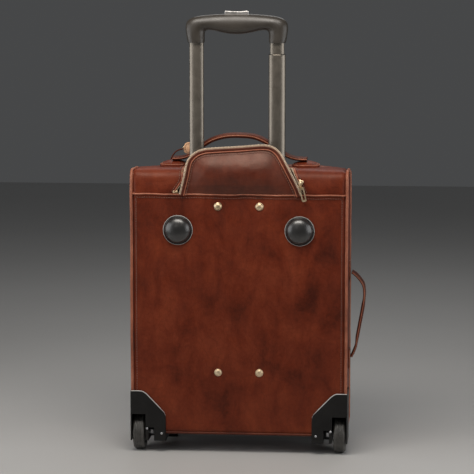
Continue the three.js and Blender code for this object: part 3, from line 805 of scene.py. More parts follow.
def make_piping():
    """Corded piping along each side, broken where the corner guard covers it."""
    inset, bend = 1.6 * MM, 4 * MM
    low, rear, front = BOTTOM + 1.4 * MM, REAR + 1.4 * MM, FRONT - 3 * MM
    for name, side in SIDES:
        high = top_height(HALF, REAR) - inset
        line = [(rear, z) for z in between(GUARD_HIGH.z - TUCK, high - SHELL_CORNER, 60)]
        for angle in (math.radians(i * 10) for i in range(1, 10)):
            line.append((rear + SHELL_CORNER * (1 - math.cos(angle)),
                         high - SHELL_CORNER * (1 - math.sin(angle))))
        line += [(y, top_height(HALF, y) - inset) for y in between(rear + SHELL_CORNER, front - bend, 24)[1:]]
        high = top_height(HALF, front) - inset
        quarter = [math.radians(i * 15) for i in range(1, 7)]
        line += [(front - bend + bend * math.sin(a), high - bend * (1 - math.cos(a))) for a in quarter]
        line += [(front, z) for z in between(high - bend, low + bend, 80)[1:]]
        line += [(front - bend * (1 - math.cos(a)), low + bend * (1 - math.sin(a))) for a in quarter]
        line += [(y, low) for y in between(front - bend, GUARD_HIGH.y - TUCK, 16)[1:]]
        x = MID + side * (HALF - 1.2 * MM)
        path = [Vector((x + side * waves(y, side, z, 60 * MM, 0.5 * MM), y, z)) for y, z in line]
        piece(f"side_piping_{name}", sweep(path, circle(2.5 * MM), RIGHT), "leather_edge_highlight", "case")


def side_depth(side, y, z):
    """How far a side panel stands out: crowned, and sunk where it meets the piping."""
    along = clamp((y - REAR) / (FRONT - REAR))
    up = clamp((z - BOTTOM) / (TOP - BOTTOM))
    out = 2.2 * MM * (1 - abs(2 * along - 1) ** 3) * (1 - abs(2 * up - 1) ** 6)
    out += waves(side * 5, y, z, 70 * MM, 0.7 * MM)
    high = top_height(HALF, y) - 1.6 * MM
    edge = min(y - REAR - 3 * MM, FRONT - 5 * MM - y, z - BOTTOM - 3 * MM, high - 2 * MM - z)
    out -= 3.0 * MM * clamp(1 - edge / (8 * MM)) ** 2
    return out - 1.6 * MM


def corner_limit(y, high, rear, radius):
    """The height that a side panel with a rounded top rear corner reaches at a depth y."""
    if y >= rear + radius:
        return high
    reach = rear + radius - y
    return high - radius + math.sqrt(max(radius * radius - reach * reach, 0))


def make_sides():
    rear, front, foot, inset = REAR + 2.0 * MM, FRONT - 3.6 * MM, BOTTOM + 2 * MM, 6 * MM
    depths = between(rear, front, 48)
    for name, side in SIDES:

        def spot(y, z):
            return Vector((MID + side * (HALF + side_depth(side, y, z)), y, z))

        highs = [corner_limit(y, top_height(HALF, y) - 2.2 * MM, rear, SHELL_CORNER - 1 * MM) for y in depths]
        grid = [[spot(y, foot + level * (high - foot)) for y, high in zip(depths, highs)]
                for level in between(0, 1, 140)]

        def keep(r, c):
            return not (grid[r][c].z < GUARD_HIGH.z - TUCK and grid[r][c + 1].y < GUARD_HIGH.y - TUCK)

        piece(f"{name}_side_leather", layered(grid, SIDE_HIDE, keep, side), "leather", "case",
              (f"{name}_gusset",))
        rows = [[spot(rear + inset, z)
                 for z in between(GUARD_HIGH.z + 2 * MM, TOP - 4 * MM - SHELL_CORNER, 60)],
                [spot(front - inset, z)
                 for z in between(BOTTOM + 9 * MM, top_height(HALF, front) - 9 * MM, 60)],
                [spot(y, top_height(HALF, y) - 2.2 * MM - inset)
                 for y in between(rear + SHELL_CORNER, front - 8 * MM, 30)]]
        stitches(f"{name}_side_stitching", rows, RIGHT * side, "case")


def make_bottom():
    limit = HALF - 2.4 * MM
    columns, depths = between(-limit, limit, 90), between(REAR + 2 * MM, FRONT - 2.5 * MM, 40)
    grid = []
    for y in depths:
        row = []
        for x in columns:
            edge = min(limit - abs(x), y - REAR - 2 * MM, FRONT - 2.5 * MM - y)
            sag = 1.2 * MM * (1 - (x / HALF) ** 4) - 2.4 * MM * clamp(1 - edge / (7 * MM)) ** 2
            row.append(Vector((MID + x, y, BOTTOM - sag + waves(x, y, 9, 60 * MM, 0.5 * MM))))
        grid.append(row)

    def keep(r, c):
        x = abs(columns[c] if columns[c] > 0 else columns[c + 1])
        return not (x > GUARD_INNER + TUCK and depths[r + 1] < GUARD_HIGH.y - TUCK)

    # painted shade: the bottom panel takes the dark leather because the underside lies in shade
    piece("bottom_leather", layered(grid, SIDE_HIDE, keep, -1), "leather_dark", "case",
          ("bottom_gusset",))
    x = GUARD_INNER + TUCK
    low = [Vector((MID + u, REAR + 1.6 * MM, BOTTOM + 1.0 * MM)) for u in between(-x, x, 60)]
    # painted shade: the piping along the bottom edge is dark leather to match the shade there
    piece("bottom_piping", sweep(low, circle(2.2 * MM), FORWARD), "leather_dark", "case")


# ---- inside of the case: lining, padded laptop sleeve, handle well ---------------------------------------


def make_lining():
    low, high = box("lining_board")
    grid = []
    for z in between(low.z, high.z, 70):
        fade = clamp((z - low.z) / (20 * MM))
        grid.append([Vector((x, high.y + waves(x, 1, z, 50 * MM, 0.6 * MM) * fade, z))
                     for x in between(low.x + 4 * MM, high.x - 4 * MM, 60)])
    inner_guard = GUARD_INNER - 2 * MM

    def keep(r, c):
        x = max(abs(grid[r][c].x - MID), abs(grid[r][c + 1].x - MID))
        return not (grid[r][c].z < GUARD_HIGH.z + 2 * MM and x > inner_guard)

    piece("back_lining", layered(grid, high.y - low.y, keep, -1), "lining", "case",
          ("lining_board",))
    floor = []
    for y in between(high.y + 1 * MM, FRONT - 1.5 * MM, 30):
        floor.append([Vector((x, y, BOTTOM + 4.6 * MM + waves(x, y, 2, 40 * MM, 0.7 * MM)))
                      for x in between(low.x + 3 * MM, high.x - 3 * MM, 60)])

    def keep_floor(r, c):
        x = max(abs(floor[r][c].x - MID), abs(floor[r][c + 1].x - MID))
        return not (floor[r][c].y < GUARD_HIGH.y + 2 * MM and x > inner_guard)

    piece("floor_lining", layered(floor, CLOTH, keep_floor), "lining", "case")
    roof = []
    for y in between(WELL_FRONT + 1 * MM, FRONT - 1.5 * MM, 24):
        roof.append([Vector((x, y, top_height(x - MID, y) - 5.2 * MM + waves(x, y, 4, 40 * MM, 0.5 * MM)))
                     for x in between(low.x + 1 * MM, high.x - 1 * MM, 60)])
    piece("roof_lining", layered(roof, CLOTH, None, -1), "lining", "case")
    for name, side in SIDES:
        x = MID + side * (HALF - 6.2 * MM)
        wall = []
        for t in between(0, 1, 70):
            wall.append([Vector((x + side * waves(y, side, t, 40 * MM, 0.6 * MM), y,
                                 BOTTOM + 5 * MM + t * (top_height(HALF, y) - 7 * MM - BOTTOM - 5 * MM)))
                         for y in between(high.y + 1 * MM, FRONT - 2 * MM, 26)])

        def keep_wall(r, c):
            return not (wall[r][c].z < GUARD_HIGH.z + 2 * MM and wall[r][c].y < GUARD_HIGH.y + 2 * MM)

        piece(f"{name}_wall_lining", layered(wall, CLOTH, keep_wall, side), "lining", "case")


def soft_box(low, high, corner):
    """A closed box with rounded edges, as a start for padding."""
    build = bmesh.new()
    bmesh.ops.create_cube(build, size=1.0)
    size = high - low
    for vert in build.verts:
        vert.co = low + (vert.co + Vector((0.5, 0.5, 0.5))) * size
    bmesh.ops.bevel(build, geom=build.edges[:], offset=corner, segments=3, profile=0.6, affect="EDGES")
    mesh = bpy.data.meshes.new("padding")
    build.to_mesh(mesh)
    build.free()
    return mesh


def puffed(name, mesh, pressure, pins, step=5 * MM, stiffness=14):
    """Lets cloth pressure fill a closed skin: points where pins(co) is true stay stitched down."""
    obj = linked(name, mesh)
    remesh = obj.modifiers.new("even_faces", "REMESH")
    remesh.mode, remesh.voxel_size = "VOXEL", step
    apply_modifiers(obj)
    group = obj.vertex_groups.new(name="stitched")
    group.add([v.index for v in obj.data.vertices if pins(v.co)], 1.0, "REPLACE")
    cloth = obj.modifiers.new("cloth", "CLOTH")
    settings = cloth.settings
    settings.quality = 6
    settings.mass = 0.25
    settings.tension_stiffness = settings.compression_stiffness = stiffness
    settings.shear_stiffness = stiffness / 2
    settings.bending_stiffness = 1.2
    settings.vertex_group_mass = "stitched"
    settings.pin_stiffness = 1.0
    settings.use_pressure = True
    settings.uniform_pressure_force = pressure
    settings.effector_weights.gravity = 0
    cloth.collision_settings.use_collision = False
    scene = bpy.context.scene
    before = [v.co.copy() for v in obj.data.vertices]
    for index in range(1, 21):
        scene.frame_set(index)
    apply_modifiers(obj)
    limit = 6 * MM
    for vert, start in zip(obj.data.vertices, before):
        moved = vert.co - start
        if moved.length > limit:
            vert.co = start + moved.normalized() * limit
    scene.frame_set(1)
    return obj


def apply_modifiers(obj):
    """Turns an object's modifiers into plain mesh."""
    graph = bpy.context.evaluated_depsgraph_get()
    mesh = bpy.data.meshes.new_from_object(obj.evaluated_get(graph))
    obj.modifiers.clear()
    obj.data = mesh


def make_sleeve():
    """Padded pocket for the laptop: a quilted front with a bound top edge, two cheeks and a floor."""
    low, high = box("laptop_sleeve")
    wall, gap, behind = 8 * MM, 0.4 * MM, 1 * MM
    columns = 5

    def pinned(co):
        edge = min(co.x - low.x, high.x - co.x, co.z - low.z, high.z - co.z) < 6 * MM
        cell = (co.x - low.x) / (high.x - low.x) * columns
        return edge or abs(cell - round(cell)) * (high.x - low.x) / columns < 3 * MM

    front = soft_box(Vector((low.x, high.y - wall, low.z)), high, 3.4 * MM)
    finish_soft(puffed("sleeve_front_pad", front, 4.0, pinned), ("laptop_sleeve",))
    for name, left, right, top in (("left", low.x, low.x + wall, high.z),
                                   ("right", high.x - wall, high.x, high.z),
                                   ("floor", low.x + wall + gap, high.x - wall - gap, low.z + wall)):
        pad = soft_box(Vector((left, low.y + behind, low.z)), Vector((right, high.y - wall - gap, top)),
                       3.2 * MM)
        finish_soft(linked(f"sleeve_{name}_pad", pad))
    binding = [Vector((x, high.y - wall / 2, high.z + 0.6 * MM)) for x in between(low.x, high.x, 80)]
    piece("sleeve_binding", sweep(binding, rounded(wall + 1.5 * MM, 5 * MM, 2 * MM), FORWARD),
          "leather_dark", "case")


def finish_soft(obj, replaces=()):
    """Smooths a pad of the sleeve and gives it its cloth and its place."""
    obj.data.materials.clear()
    obj.data.materials.append(MAT["lining"])
    smooth = obj.modifiers.new("smooth", "SUBSURF")
    smooth.levels = smooth.render_levels = 1
    apply_modifiers(obj)
    obj.data.shade_smooth()
    return settled(obj, "case", replaces)


def make_well():
    """Cloth on three sides of the handle well, slightly slack between its corners."""
    low, high = box("well_liner")
    r = 8 * MM
    arc = [math.radians(15 * i) for i in range(1, 6)]
    plan = [(low.x, low.y), (low.x, high.y - r)]
    plan += [(low.x + r - r * math.cos(a), high.y - r + r * math.sin(a)) for a in arc]
    plan += [(low.x + r, high.y), (high.x - r, high.y)]
    plan += [(high.x - r + r * math.sin(a), high.y - r + r * math.cos(a)) for a in arc]
    plan += [(high.x, high.y - r), (high.x, low.y)]
    flat = resampled([Vector((x, y, 0)) for x, y in plan], 4 * MM)
    grid = []
    for z in between(low.z, high.z + 1.5 * MM, 14):
        grid.append([Vector((p.x, p.y + waves(p.x, 3, z, 25 * MM, 0.5 * MM), z)) for p in flat])
    piece("well_lining", layered(grid, 1.4 * MM), "lining", "case", ("well_liner",))


# ---- lid with the front pocket ---------------------------------------------------------------------------

LID_CORNER = 16 * MM


def lid_inset(depth):
    """How far the lid's outline draws in at a distance behind its front face."""
    r = 12 * MM
    if depth >= r:
        return 0.0
    return r - math.sqrt(r * r - (r - depth) ** 2)


def outline_points(left, right, low, high, radius, step=4 * MM):
    """A rounded rectangle in x and z, from the bottom middle round by the right side."""
    points = [Vector((0.5 * (left + right), 0, low))]
    for cx, cz, start in ((right - radius, low + radius, -90), (right - radius, high - radius, 0),
                          (left + radius, high - radius, 90), (left + radius, low + radius, 180)):
        for i in range(7):
            angle = math.radians(start + i * 15)
            points.append(Vector((cx + radius * math.cos(angle), 0, cz + radius * math.sin(angle))))
    return resampled(points, step, closed=True)[:-1]


def lid_outline(grow=0.0):
    """The lid's outline, with its top falling towards the corners as the case's top does."""
    points = outline_points(-HALF + 1 * MM - grow, HALF - 1 * MM + grow, BOTTOM + 1 * MM - grow,
                            LID_TOP + grow, LID_CORNER + grow)
    for point in points:
        fall = LID_TOP - top_height(min(abs(point.x), HALF), LID_LOW.y + 5 * MM)
        point.z -= fall * ease((point.z - LID_TOP + 40 * MM) / (34 * MM))
        point.x += MID
    return points


def make_lid():
    outline = lid_outline()
    middle = Vector((MID, 0, (LID_TOP + BOTTOM) / 2))
    rear, front, frame_edge = LID_LOW.y + 1 * MM, LID_FRONT, 11 * MM

    def inward(p):
        beside = abs(p.x - MID) > HALF - 12 * MM
        level = min(p.z - BOTTOM, LID_TOP - p.z) < 14 * MM
        way = Vector((middle.x - p.x if beside else 0, 0, math.copysign(1, middle.z - p.z) if level else 0))
        return way.normalized()

    depths = [rear + step * MM for step in (0, 1.5, 4, 9, 14)]
    depths += [front - step * MM for step in (12, 9, 6, 3.4, 1.4, 0.4)]
    grid = []
    for y in depths:
        sink = lid_inset(front - y) + 2.0 * MM * clamp(1 - (y - rear) / (5 * MM)) ** 2
        row = [Vector((p.x, y, p.z)) + inward(p) * (sink + waves(p.x, y, p.z, 55 * MM, 0.8 * MM))
               for p in outline]
        grid.append(row + [row[0].copy()])
    piece("lid_band_leather", ring_sheet(grid, HIDE, middle), "leather", "lid", ("lid_frame",))
    bead = [Vector((p.x, LID_LOW.y + 1.2 * MM, p.z)) for p in lid_outline(-1.4 * MM)]
    piece("lid_rear_piping", sweep(bead, circle(2.3 * MM, 10), FORWARD, closed=True),
          "leather_edge_highlight", "lid")

    def face(x, z):
        across, up = abs(x - MID) / HALF, abs(2 * (z - BOTTOM) / (LID_TOP - BOTTOM) - 1)
        edge = min(HALF - frame_edge - abs(x - MID), z - BOTTOM - frame_edge,
                   top_height(x - MID, LID_LOW.y + 5 * MM) - frame_edge - z)
        out = 1.8 * MM * (1 - across ** 4) * (1 - up ** 4)
        out += waves(x, 11, z, 75 * MM, 0.8 * MM) - 2.2 * MM * clamp(1 - edge / (6 * MM)) ** 2
        return front - 1.6 * MM + out

    grid = []
    for level in between(0, 1, 120):
        row = []
        for x in between(-HALF + frame_edge, HALF - frame_edge, 100):
            low, high = BOTTOM + frame_edge, top_height(x, LID_LOW.y + 5 * MM) - 10 * MM
            cut = clamp((abs(x) - HALF + 18 * MM) / (8 * MM)) ** 2 * 4 * MM
            low, high = low + cut, high - cut
            z = low + level * (high - low)
            row.append(Vector((MID + x, face(MID + x, z), z)))
        grid.append(row)
    piece("lid_face_leather", layered(grid, HIDE, None, -1), "leather", "lid", ("lid_panel",))
    seam = [Vector((p.x, front - 1.0 * MM, p.z)) for p in lid_outline(-10.5 * MM)]
    piece("lid_front_piping", sweep(seam, circle(2.4 * MM, 10), FORWARD, closed=True),
          "leather_edge_highlight", "lid")
    row = [Vector((p.x, face(p.x, p.z) + 0.2 * MM, p.z)) for p in lid_outline(-16.5 * MM)]
    stitches("lid_stitching", [row + [row[0]]], FORWARD, "lid")

    inner = []
    for z in between(BOTTOM + 12 * MM, LID_TOP - 26 * MM, 60):
        inner.append([Vector((MID + x, LID_FRONT - 5.6 * MM + waves(x, 12, z, 40 * MM, 0.7 * MM), z))
                      for x in between(-HALF + 6 * MM, HALF - 6 * MM, 60)])
    piece("lid_lining", layered(inner, CLOTH), "lining", "lid")


def ring_sheet(grid, thickness, middle):
    """A closed band with thickness from rows that end where they start."""
    rows, cols = len(grid), len(grid[0]) - 1
    outer = [grid[r][c] for r in range(rows) for c in range(cols)]
    inner = []
    for r in range(rows):
        for c in range(cols):
            along = grid[r][(c + 1) % cols] - grid[r][c - 1]
            down = grid[min(r + 1, rows - 1)][c] - grid[max(r - 1, 0)][c]
            out = along.cross(down).normalized()
            if out.dot(grid[r][c] - middle) < 0:
                out = -out
            inner.append(grid[r][c] - out * thickness)
    base, faces = rows * cols, []
    for r in range(rows - 1):
        for c in range(cols):
            d = (c + 1) % cols
            a, b, e, f = r * cols + c, r * cols + d, (r + 1) * cols + d, (r + 1) * cols + c
            faces += [[a, b, e, f], [base + f, base + e, base + b, base + a]]
    for r in (0, rows - 1):
        for c in range(cols):
            d = (c + 1) % cols
            faces.append([r * cols + c, base + r * cols + c, base + r * cols + d, r * cols + d])
    return outer + inner, faces


def make_pocket():
    """Soft pocket on the lid, open along its top, with a bound mouth and a belly."""
    low, high = box("front_pocket")
    depth, r = high.y - low.y, 16 * MM
    half, middle = (high.x - low.x) / 2, (high.x + low.x) / 2

    def quarter(t):
        """The rise of a quarter circle, from 0 at its foot to 1."""
        return math.sqrt(1 - (1 - t) ** 2)

    grid = []
    for up in between(0, 1, 60):
        z = low.z + up * (high.z - low.z)
        foot = clamp((z - low.z) / r)
        belly = depth * quarter(foot) - 2.5 * MM * ease((up - 0.55) / 0.45) - 0.6 * MM
        row = []
        for turn in between(-1, 1, 100):
            rise = quarter(clamp((1 - abs(turn)) * half / r))
            slack = waves(turn * half, 14, z, 50 * MM, 0.9 * MM) * rise * foot
            row.append(Vector((middle + turn * half, low.y + max(1.2 * MM, belly * rise) + slack, z)))
        grid.append(row)
    piece("pocket_leather", layered(grid, HIDE, None, -1), "leather", "lid", ("front_pocket",))
    top = [point + Vector((0, -1.0 * MM, 0.4 * MM)) for point in grid[-1]]
    piece("pocket_binding", sweep(top, rounded(4.4 * MM, 7 * MM, 1.9 * MM), FORWARD),
          "leather_edge_highlight", "lid")
    mouth, y = high.z - 1 * MM, low.y + 2.2 * MM
    trim = resampled([Vector((middle + side * half, y, z))
                      for side, z in ((-1, mouth), (-1, low.z), (1, low.z), (1, mouth))], 4 * MM)
    piece("pocket_piping", sweep(trim, circle(2.2 * MM, 10), FORWARD), "leather_edge_highlight", "lid")
    stitches("pocket_stitching", [[point + FORWARD * 0.2 * MM for point in grid[-4][6:95]]], FORWARD, "lid")


def make_main_zip():
    """Main zip between case and lid: a tape and a row of teeth on each, closed over three sides."""
    middle = (LID_TOP + BOTTOM) / 2
    gap = (FRONT + LID_LOW.y) / 2
    path = [p for p in lid_outline(-3.2 * MM) if p.x > MID - HALF + 9 * MM]
    start = max(range(len(path)), key=lambda i: (path[i] - path[i - 1]).length)
    path = path[start:] + path[:start]
    bend, low, high = 12 * MM, BOTTOM + 12 * MM, LID_TOP - 16 * MM

    def outwards(p):
        x, level = p.x - MID, UP * math.copysign(1, p.z - middle)
        if low < p.z < high:
            return RIGHT * math.copysign(1, x) if abs(x) > HALF - 8 * MM else level
        if abs(x) < HALF - bend:
            return level
        hub = LID_TOP - 17 * MM if p.z > middle else low
        return Vector((x - math.copysign(HALF - bend, x), 0, p.z - hub)).normalized()

    for body, y0, y1, teeth, replaces in (
            ("case", FRONT - 1.5 * MM, gap - 0.15 * MM, gap - 0.9 * MM, ("main_zip_tape",)),
            ("lid", gap + 0.15 * MM, LID_LOW.y + 2 * MM, gap + 0.9 * MM, ())):
        rings = []
        for p in path:
            a, b, under = Vector((p.x, y0, p.z)), Vector((p.x, y1, p.z)), outwards(p) * 0.9 * MM
            rings.append([a, b, b - under, a - under])
        piece(f"main_zip_tape_{body}", strip(rings), "tape", body, replaces)
        line = [Vector((p.x, teeth, p.z)) + outwards(p) * 0.5 * MM for p in path]
        zip_teeth(f"main_zip_teeth_{body}", line, FORWARD, outwards, body, size=(1.9, 1.5, 1.6))


def make_lid_hinge():
    """Leather strip down the left side, on which the lid turns."""
    x = LID_LOW.x
    low, high = BOTTOM + 14 * MM, LID_TOP - 20 * MM
    grid = []
    for z in between(low, high, 90):
        row = []
        for y in between(FRONT - 5 * MM, LID_LOW.y + 6 * MM, 14):
            t = (y - FRONT) / (LID_LOW.y - FRONT)
            bulge = 1.6 * MM * math.sin(math.pi * clamp(t)) + waves(y, 17, z, 30 * MM, 0.4 * MM)
            row.append(Vector((x + 0.6 * MM - bulge, y, z)))
        grid.append(row)
    hinge = piece("lid_hinge_leather", layered(grid, 1.8 * MM, None, -1), "leather_dark", None)
    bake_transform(hinge)


# ---- handle cover with its zip ---------------------------------------------------------------------------

COVER_REAR = box("handle_cover")[0].y


def cover_outline(inset, step=3 * MM):
    """Points up the left side of the cover, over its top and down the right side."""
    base = SEAM / MM + 1
    line = [(-100.3, base), (-96.4, 458), (-92.4, 474), (-89.6, 488), (-88.0, 495.5), (-84.6, 503),
            (-79.9, 508.9), (-74, 513.6), (-67.9, 517), (-56, 520.4), (-32, 522.2), (4, 524.4), (34, 527.0),
            (44, 527.2), (50, 526.4), (56, 524.8), (61.6, 522.0), (67, 517.8), (71.6, 512.6), (76.4, 504.6),
            (83.4, 491.6), (95, 469), (101.6, 455), (106, base)]
    path = resampled([at(x, 0, z) for x, z in line], step)
    if not inset:
        return path
    moved = []
    for point, along in zip(path, tangents(path, False)):
        moved.append(point + Vector((along.z, 0, -along.x)) * inset)
    return moved


def cover_lean(z):
    """How the cover's profile runs in depth: out from the seam to a belly, and back in towards its top."""
    t = clamp((z - SEAM) / (84 * MM))
    return 5.0 * MM * t ** 3 - 4.0 * MM * math.sin(math.pi * t ** 1.2)


def make_cover():
    rim = cover_outline(8.4 * MM)
    base = SEAM + 1 * MM
    # The panel is a grid over the cover's width: every column runs from the seam up to the rim.
    columns = between(min(p.x for p in rim) + 0.5 * MM, max(p.x for p in rim) - 0.5 * MM, 110)
    grid = []

    def rim_height(x):
        hits = []
        for a, b in zip(rim, rim[1:]):
            if (a.x - x) * (b.x - x) <= 0 and abs(a.x - b.x) > 1e-9:
                hits.append(a.z + (b.z - a.z) * (x - a.x) / (b.x - a.x))
        return max(hits) if hits else base + 1 * MM

    def rim_distance(x, z):
        """How far a point is from the rim in mm, smoothed so that no crease runs between two sides."""
        near = sum(((p.x - x) ** 2 + (p.z - z) ** 2 + (0.5 * MM) ** 2) ** -2 for p in rim[::2])
        return near ** -0.25 / MM

    heights = [max(rim_height(x), base + 0.6 * MM) for x in columns]
    for level in between(0, 1, 44):
        row = []
        for x, height in zip(columns, heights):
            z = base + (height - base) * level
            full = ease(rim_distance(x, z) / 22)
            lift = clamp((z - base) / (16 * MM))
            out = (0.5 + 3.6 * full * lift) * MM + waves(x, 21, z, 42 * MM, 1.0 * MM) * full * lift
            belly = clamp((z - base) / (80 * MM))
            out += 7.0 * MM * full * math.sin(math.pi * belly ** 1.1)
            row.append(Vector((x, COVER_REAR + 2.6 * MM - out + cover_lean(z), z)))
        grid.append(row)
    piece("cover_leather", layered(grid, 1.6 * MM), "leather_cover_shaded", "cover", ("handle_cover",))

    def along(inset, y):
        """The rim's line, inset and set back by these many mm."""
        return [Vector((p.x, COVER_REAR + y * MM + cover_lean(p.z), p.z)) for p in cover_outline(inset * MM)]

    piece("cover_band", sweep(along(5.4, 1.0), rounded(3.8 * MM, 4.6 * MM, 1.6 * MM), FORWARD),
          "leather_dark", "cover")
    piece("cover_piping", sweep(along(8.4, 0.7), circle(1.2 * MM, 10), FORWARD),
          "leather_edge_highlight", "cover")
    piece("cover_zip_tape", sweep(along(2.2, 1.2), rounded(1.3 * MM, 4.0 * MM, 0.5 * MM), FORWARD),
          "tape", "cover", ("cover_zip_tape",))
    teeth = along(0.9, 0.6)
    directions = tangents(teeth, False)

    def across(p):
        near = min(range(len(teeth)), key=lambda i: (teeth[i] - p).length_squared)
        return Vector((-directions[near].z, 0, directions[near].x))

    zip_teeth("cover_zip_teeth", teeth, across, -FORWARD, "cover")
    stitches("cover_stitching", [along(11.6, -0.8)], -FORWARD, "cover")
    facing = []
    for level in between(0.05, 1, 30):
        facing.append([Vector((x, COVER_REAR + 4.1 * MM + cover_lean(base + (h - base) * level),
                               base + (h - base) * level)) for x, h in zip(columns, heights)])
    piece("cover_facing", layered(facing, 0.8 * MM, None, -1), "lining", "cover")

    grid = []
    for z in between(SEAM - 6 * MM, base + 5 * MM, 10):
        y = REAR - 0.2 * MM - 1.4 * MM * ease((z - SEAM + 6 * MM) / (7 * MM))
        grid.append([Vector((x, y, z)) for x in between(columns[0] + 3 * MM, columns[-1] - 3 * MM, 70)])
    strap = piece("cover_hinge_leather", layered(grid, 1.3 * MM), "leather_dark", None)
    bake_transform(strap)


# ---- zip sliders and pulls -------------------------------------------------------------------------------


def slotted_tab(width, length, thick, slot_width, slot_length, radius, lift):
    """A flat pull in the XZ plane with a long slot, as one rounded ring with a bridge at its top."""
    outer = [Vector((x, 0, z)) for x, z in rounded(width, length, radius, 8)]
    inner = [Vector((x, 0, z - lift))
             for x, z in rounded(slot_width, slot_length, slot_width / 2 - 0.1 * MM, 8)]
    rings, half = [], FORWARD * thick / 2
    for a, b in zip(outer, inner):
        edge = (b - a).normalized() * 0.3 * MM
        rings.append([a + edge - half, a - half * 0.5, a + half * 0.5, a + edge + half,
                      b - edge + half, b + half * 0.5, b - half * 0.5, b - edge - half])
    return ring_body(rings)


def slider_body(width, length, thick):
    """A zip slider lying in the XZ plane: two waisted plates, a post between them and a bail over the top."""
    outline = [(w * width / 2, z * length)
               for z, w in ((-0.5, 0.62), (-0.46, 0.74), (-0.3, 0.80), (-0.05, 0.84), (0.2, 0.96),
                            (0.38, 1.0), (0.47, 0.9), (0.5, 0.7))]
    loop = outline + [(-x, z) for x, z in reversed(outline)]
    parts = []
    for y0, y1 in ((-thick / 2, -0.2 * thick), (0.2 * thick, thick / 2)):
        parts.append(strip([[Vector((x * grow, y, z * grow)) for x, z in loop]
                            for y, grow in ((y0, 0.9), (y0 + 0.15 * thick, 1.0), (y1 - 0.1 * thick, 1.0),
                                            (y1, 0.93))]))
    parts.append(strip([[Vector((x * width * 0.3, y, z * length * 0.24 + length * 0.2)) for x, z in circle(1)]
                        for y in (-thick * 0.3, thick * 0.3)]))
    bail = [Vector((0, -thick / 2 + y * MM, z * length))
            for y, z in ((0.2, -0.36), (-1.5, -0.34), (-2.2, -0.1), (-2.0, 0.12), (-1.1, 0.28), (0.2, 0.3))]
    parts.append(sweep(smooth_path(bail, 16), rounded(width * 0.34, 0.9 * MM, 0.4 * MM, 3), RIGHT))
    return joined(parts)


def make_zip_hardware():
    def fitting(name, geometry, middle, turn, body, smooth=45):
        piece(name, placed(geometry, Matrix.Translation(middle) @ turn), "brass", body, (name,),
              smooth=smooth)

    low, high = box("cover_zip_slider")
    fitting("cover_zip_slider", slider_body(8.4 * MM, high.z - low.z, high.y - low.y),
            centre("cover_zip_slider"), Matrix.Rotation(0.30, 4, "Y"), "case")
    tab = slotted_tab(8 * MM, 25.5 * MM, 1.6 * MM, 3.4 * MM, 17 * MM, 2.6 * MM, 0.8 * MM)
    fitting("cover_zip_pull", tab, centre("cover_zip_pull"), Matrix.Rotation(-0.22, 4, "Y"), "cover_pull")
    stop = soft_block(at(-106.5, REAR / MM - 0.6, SEAM / MM + 4.4), (8.5, 2.2, 4.6), 0.8)
    piece("cover_zip_end_stop", stop, "brass", "case", smooth=50)

    low, high = box("main_zip_slider")
    flat = Matrix(((0, 0, 1), (-1, 0, 0), (0, -1, 0))).to_4x4()    # lies down, its front up and its top to +X
    fitting("main_zip_slider", slider_body(high.y - low.y, high.x - low.x, (high.z - low.z) * 0.6),
            centre("main_zip_slider") - UP * 0.8 * MM, flat, "case")
    tab = slotted_tab(9 * MM, 30 * MM, 1.8 * MM, 4.0 * MM, 20 * MM, 3 * MM, 1.0 * MM)
    fitting("main_zip_pull", tab, centre("main_zip_pull"), flat, "main_pull")


def soft_block(middle, size, radius, steps=3):
    """A block with rounded edges: size in mm along X, Y and Z."""
    sx, sy, sz = (value * MM for value in size)
    r = radius * MM
    levels = []
    for i in range(steps, -1, -1):
        angle = math.pi / 2 * i / steps
        levels.append((-sz / 2 + r * (1 - math.sin(angle)), r * (1 - math.cos(angle))))
    levels += [(-z, inset) for z, inset in reversed(levels)]
    return strip([[middle + Vector((x, y, z)) for x, y in
                   rounded(sx - 2 * inset, sy - 2 * inset, max(r - inset * 0.6, 0.2 * MM), 4)]
                  for z, inset in levels])


# ---- rivets, bumpers, guards, wheels and feet ------------------------------------------------------------


def dome(radius, height, rim=0.12, sides=48, steps=10):
    """A turned cap that stands on z = 0, slightly rolled in at its rim."""
    profile = [(0, -1.2 * MM), (radius * 0.9, -1.2 * MM), (radius * 0.98, 0), (radius, height * rim)]
    for i in range(1, steps + 1):
        angle = math.pi / 2 * i / steps
        profile.append((radius * math.cos(angle), height * (rim + (1 - rim) * math.sin(angle))))
    return strip(turned(profile, sides), capped=False)


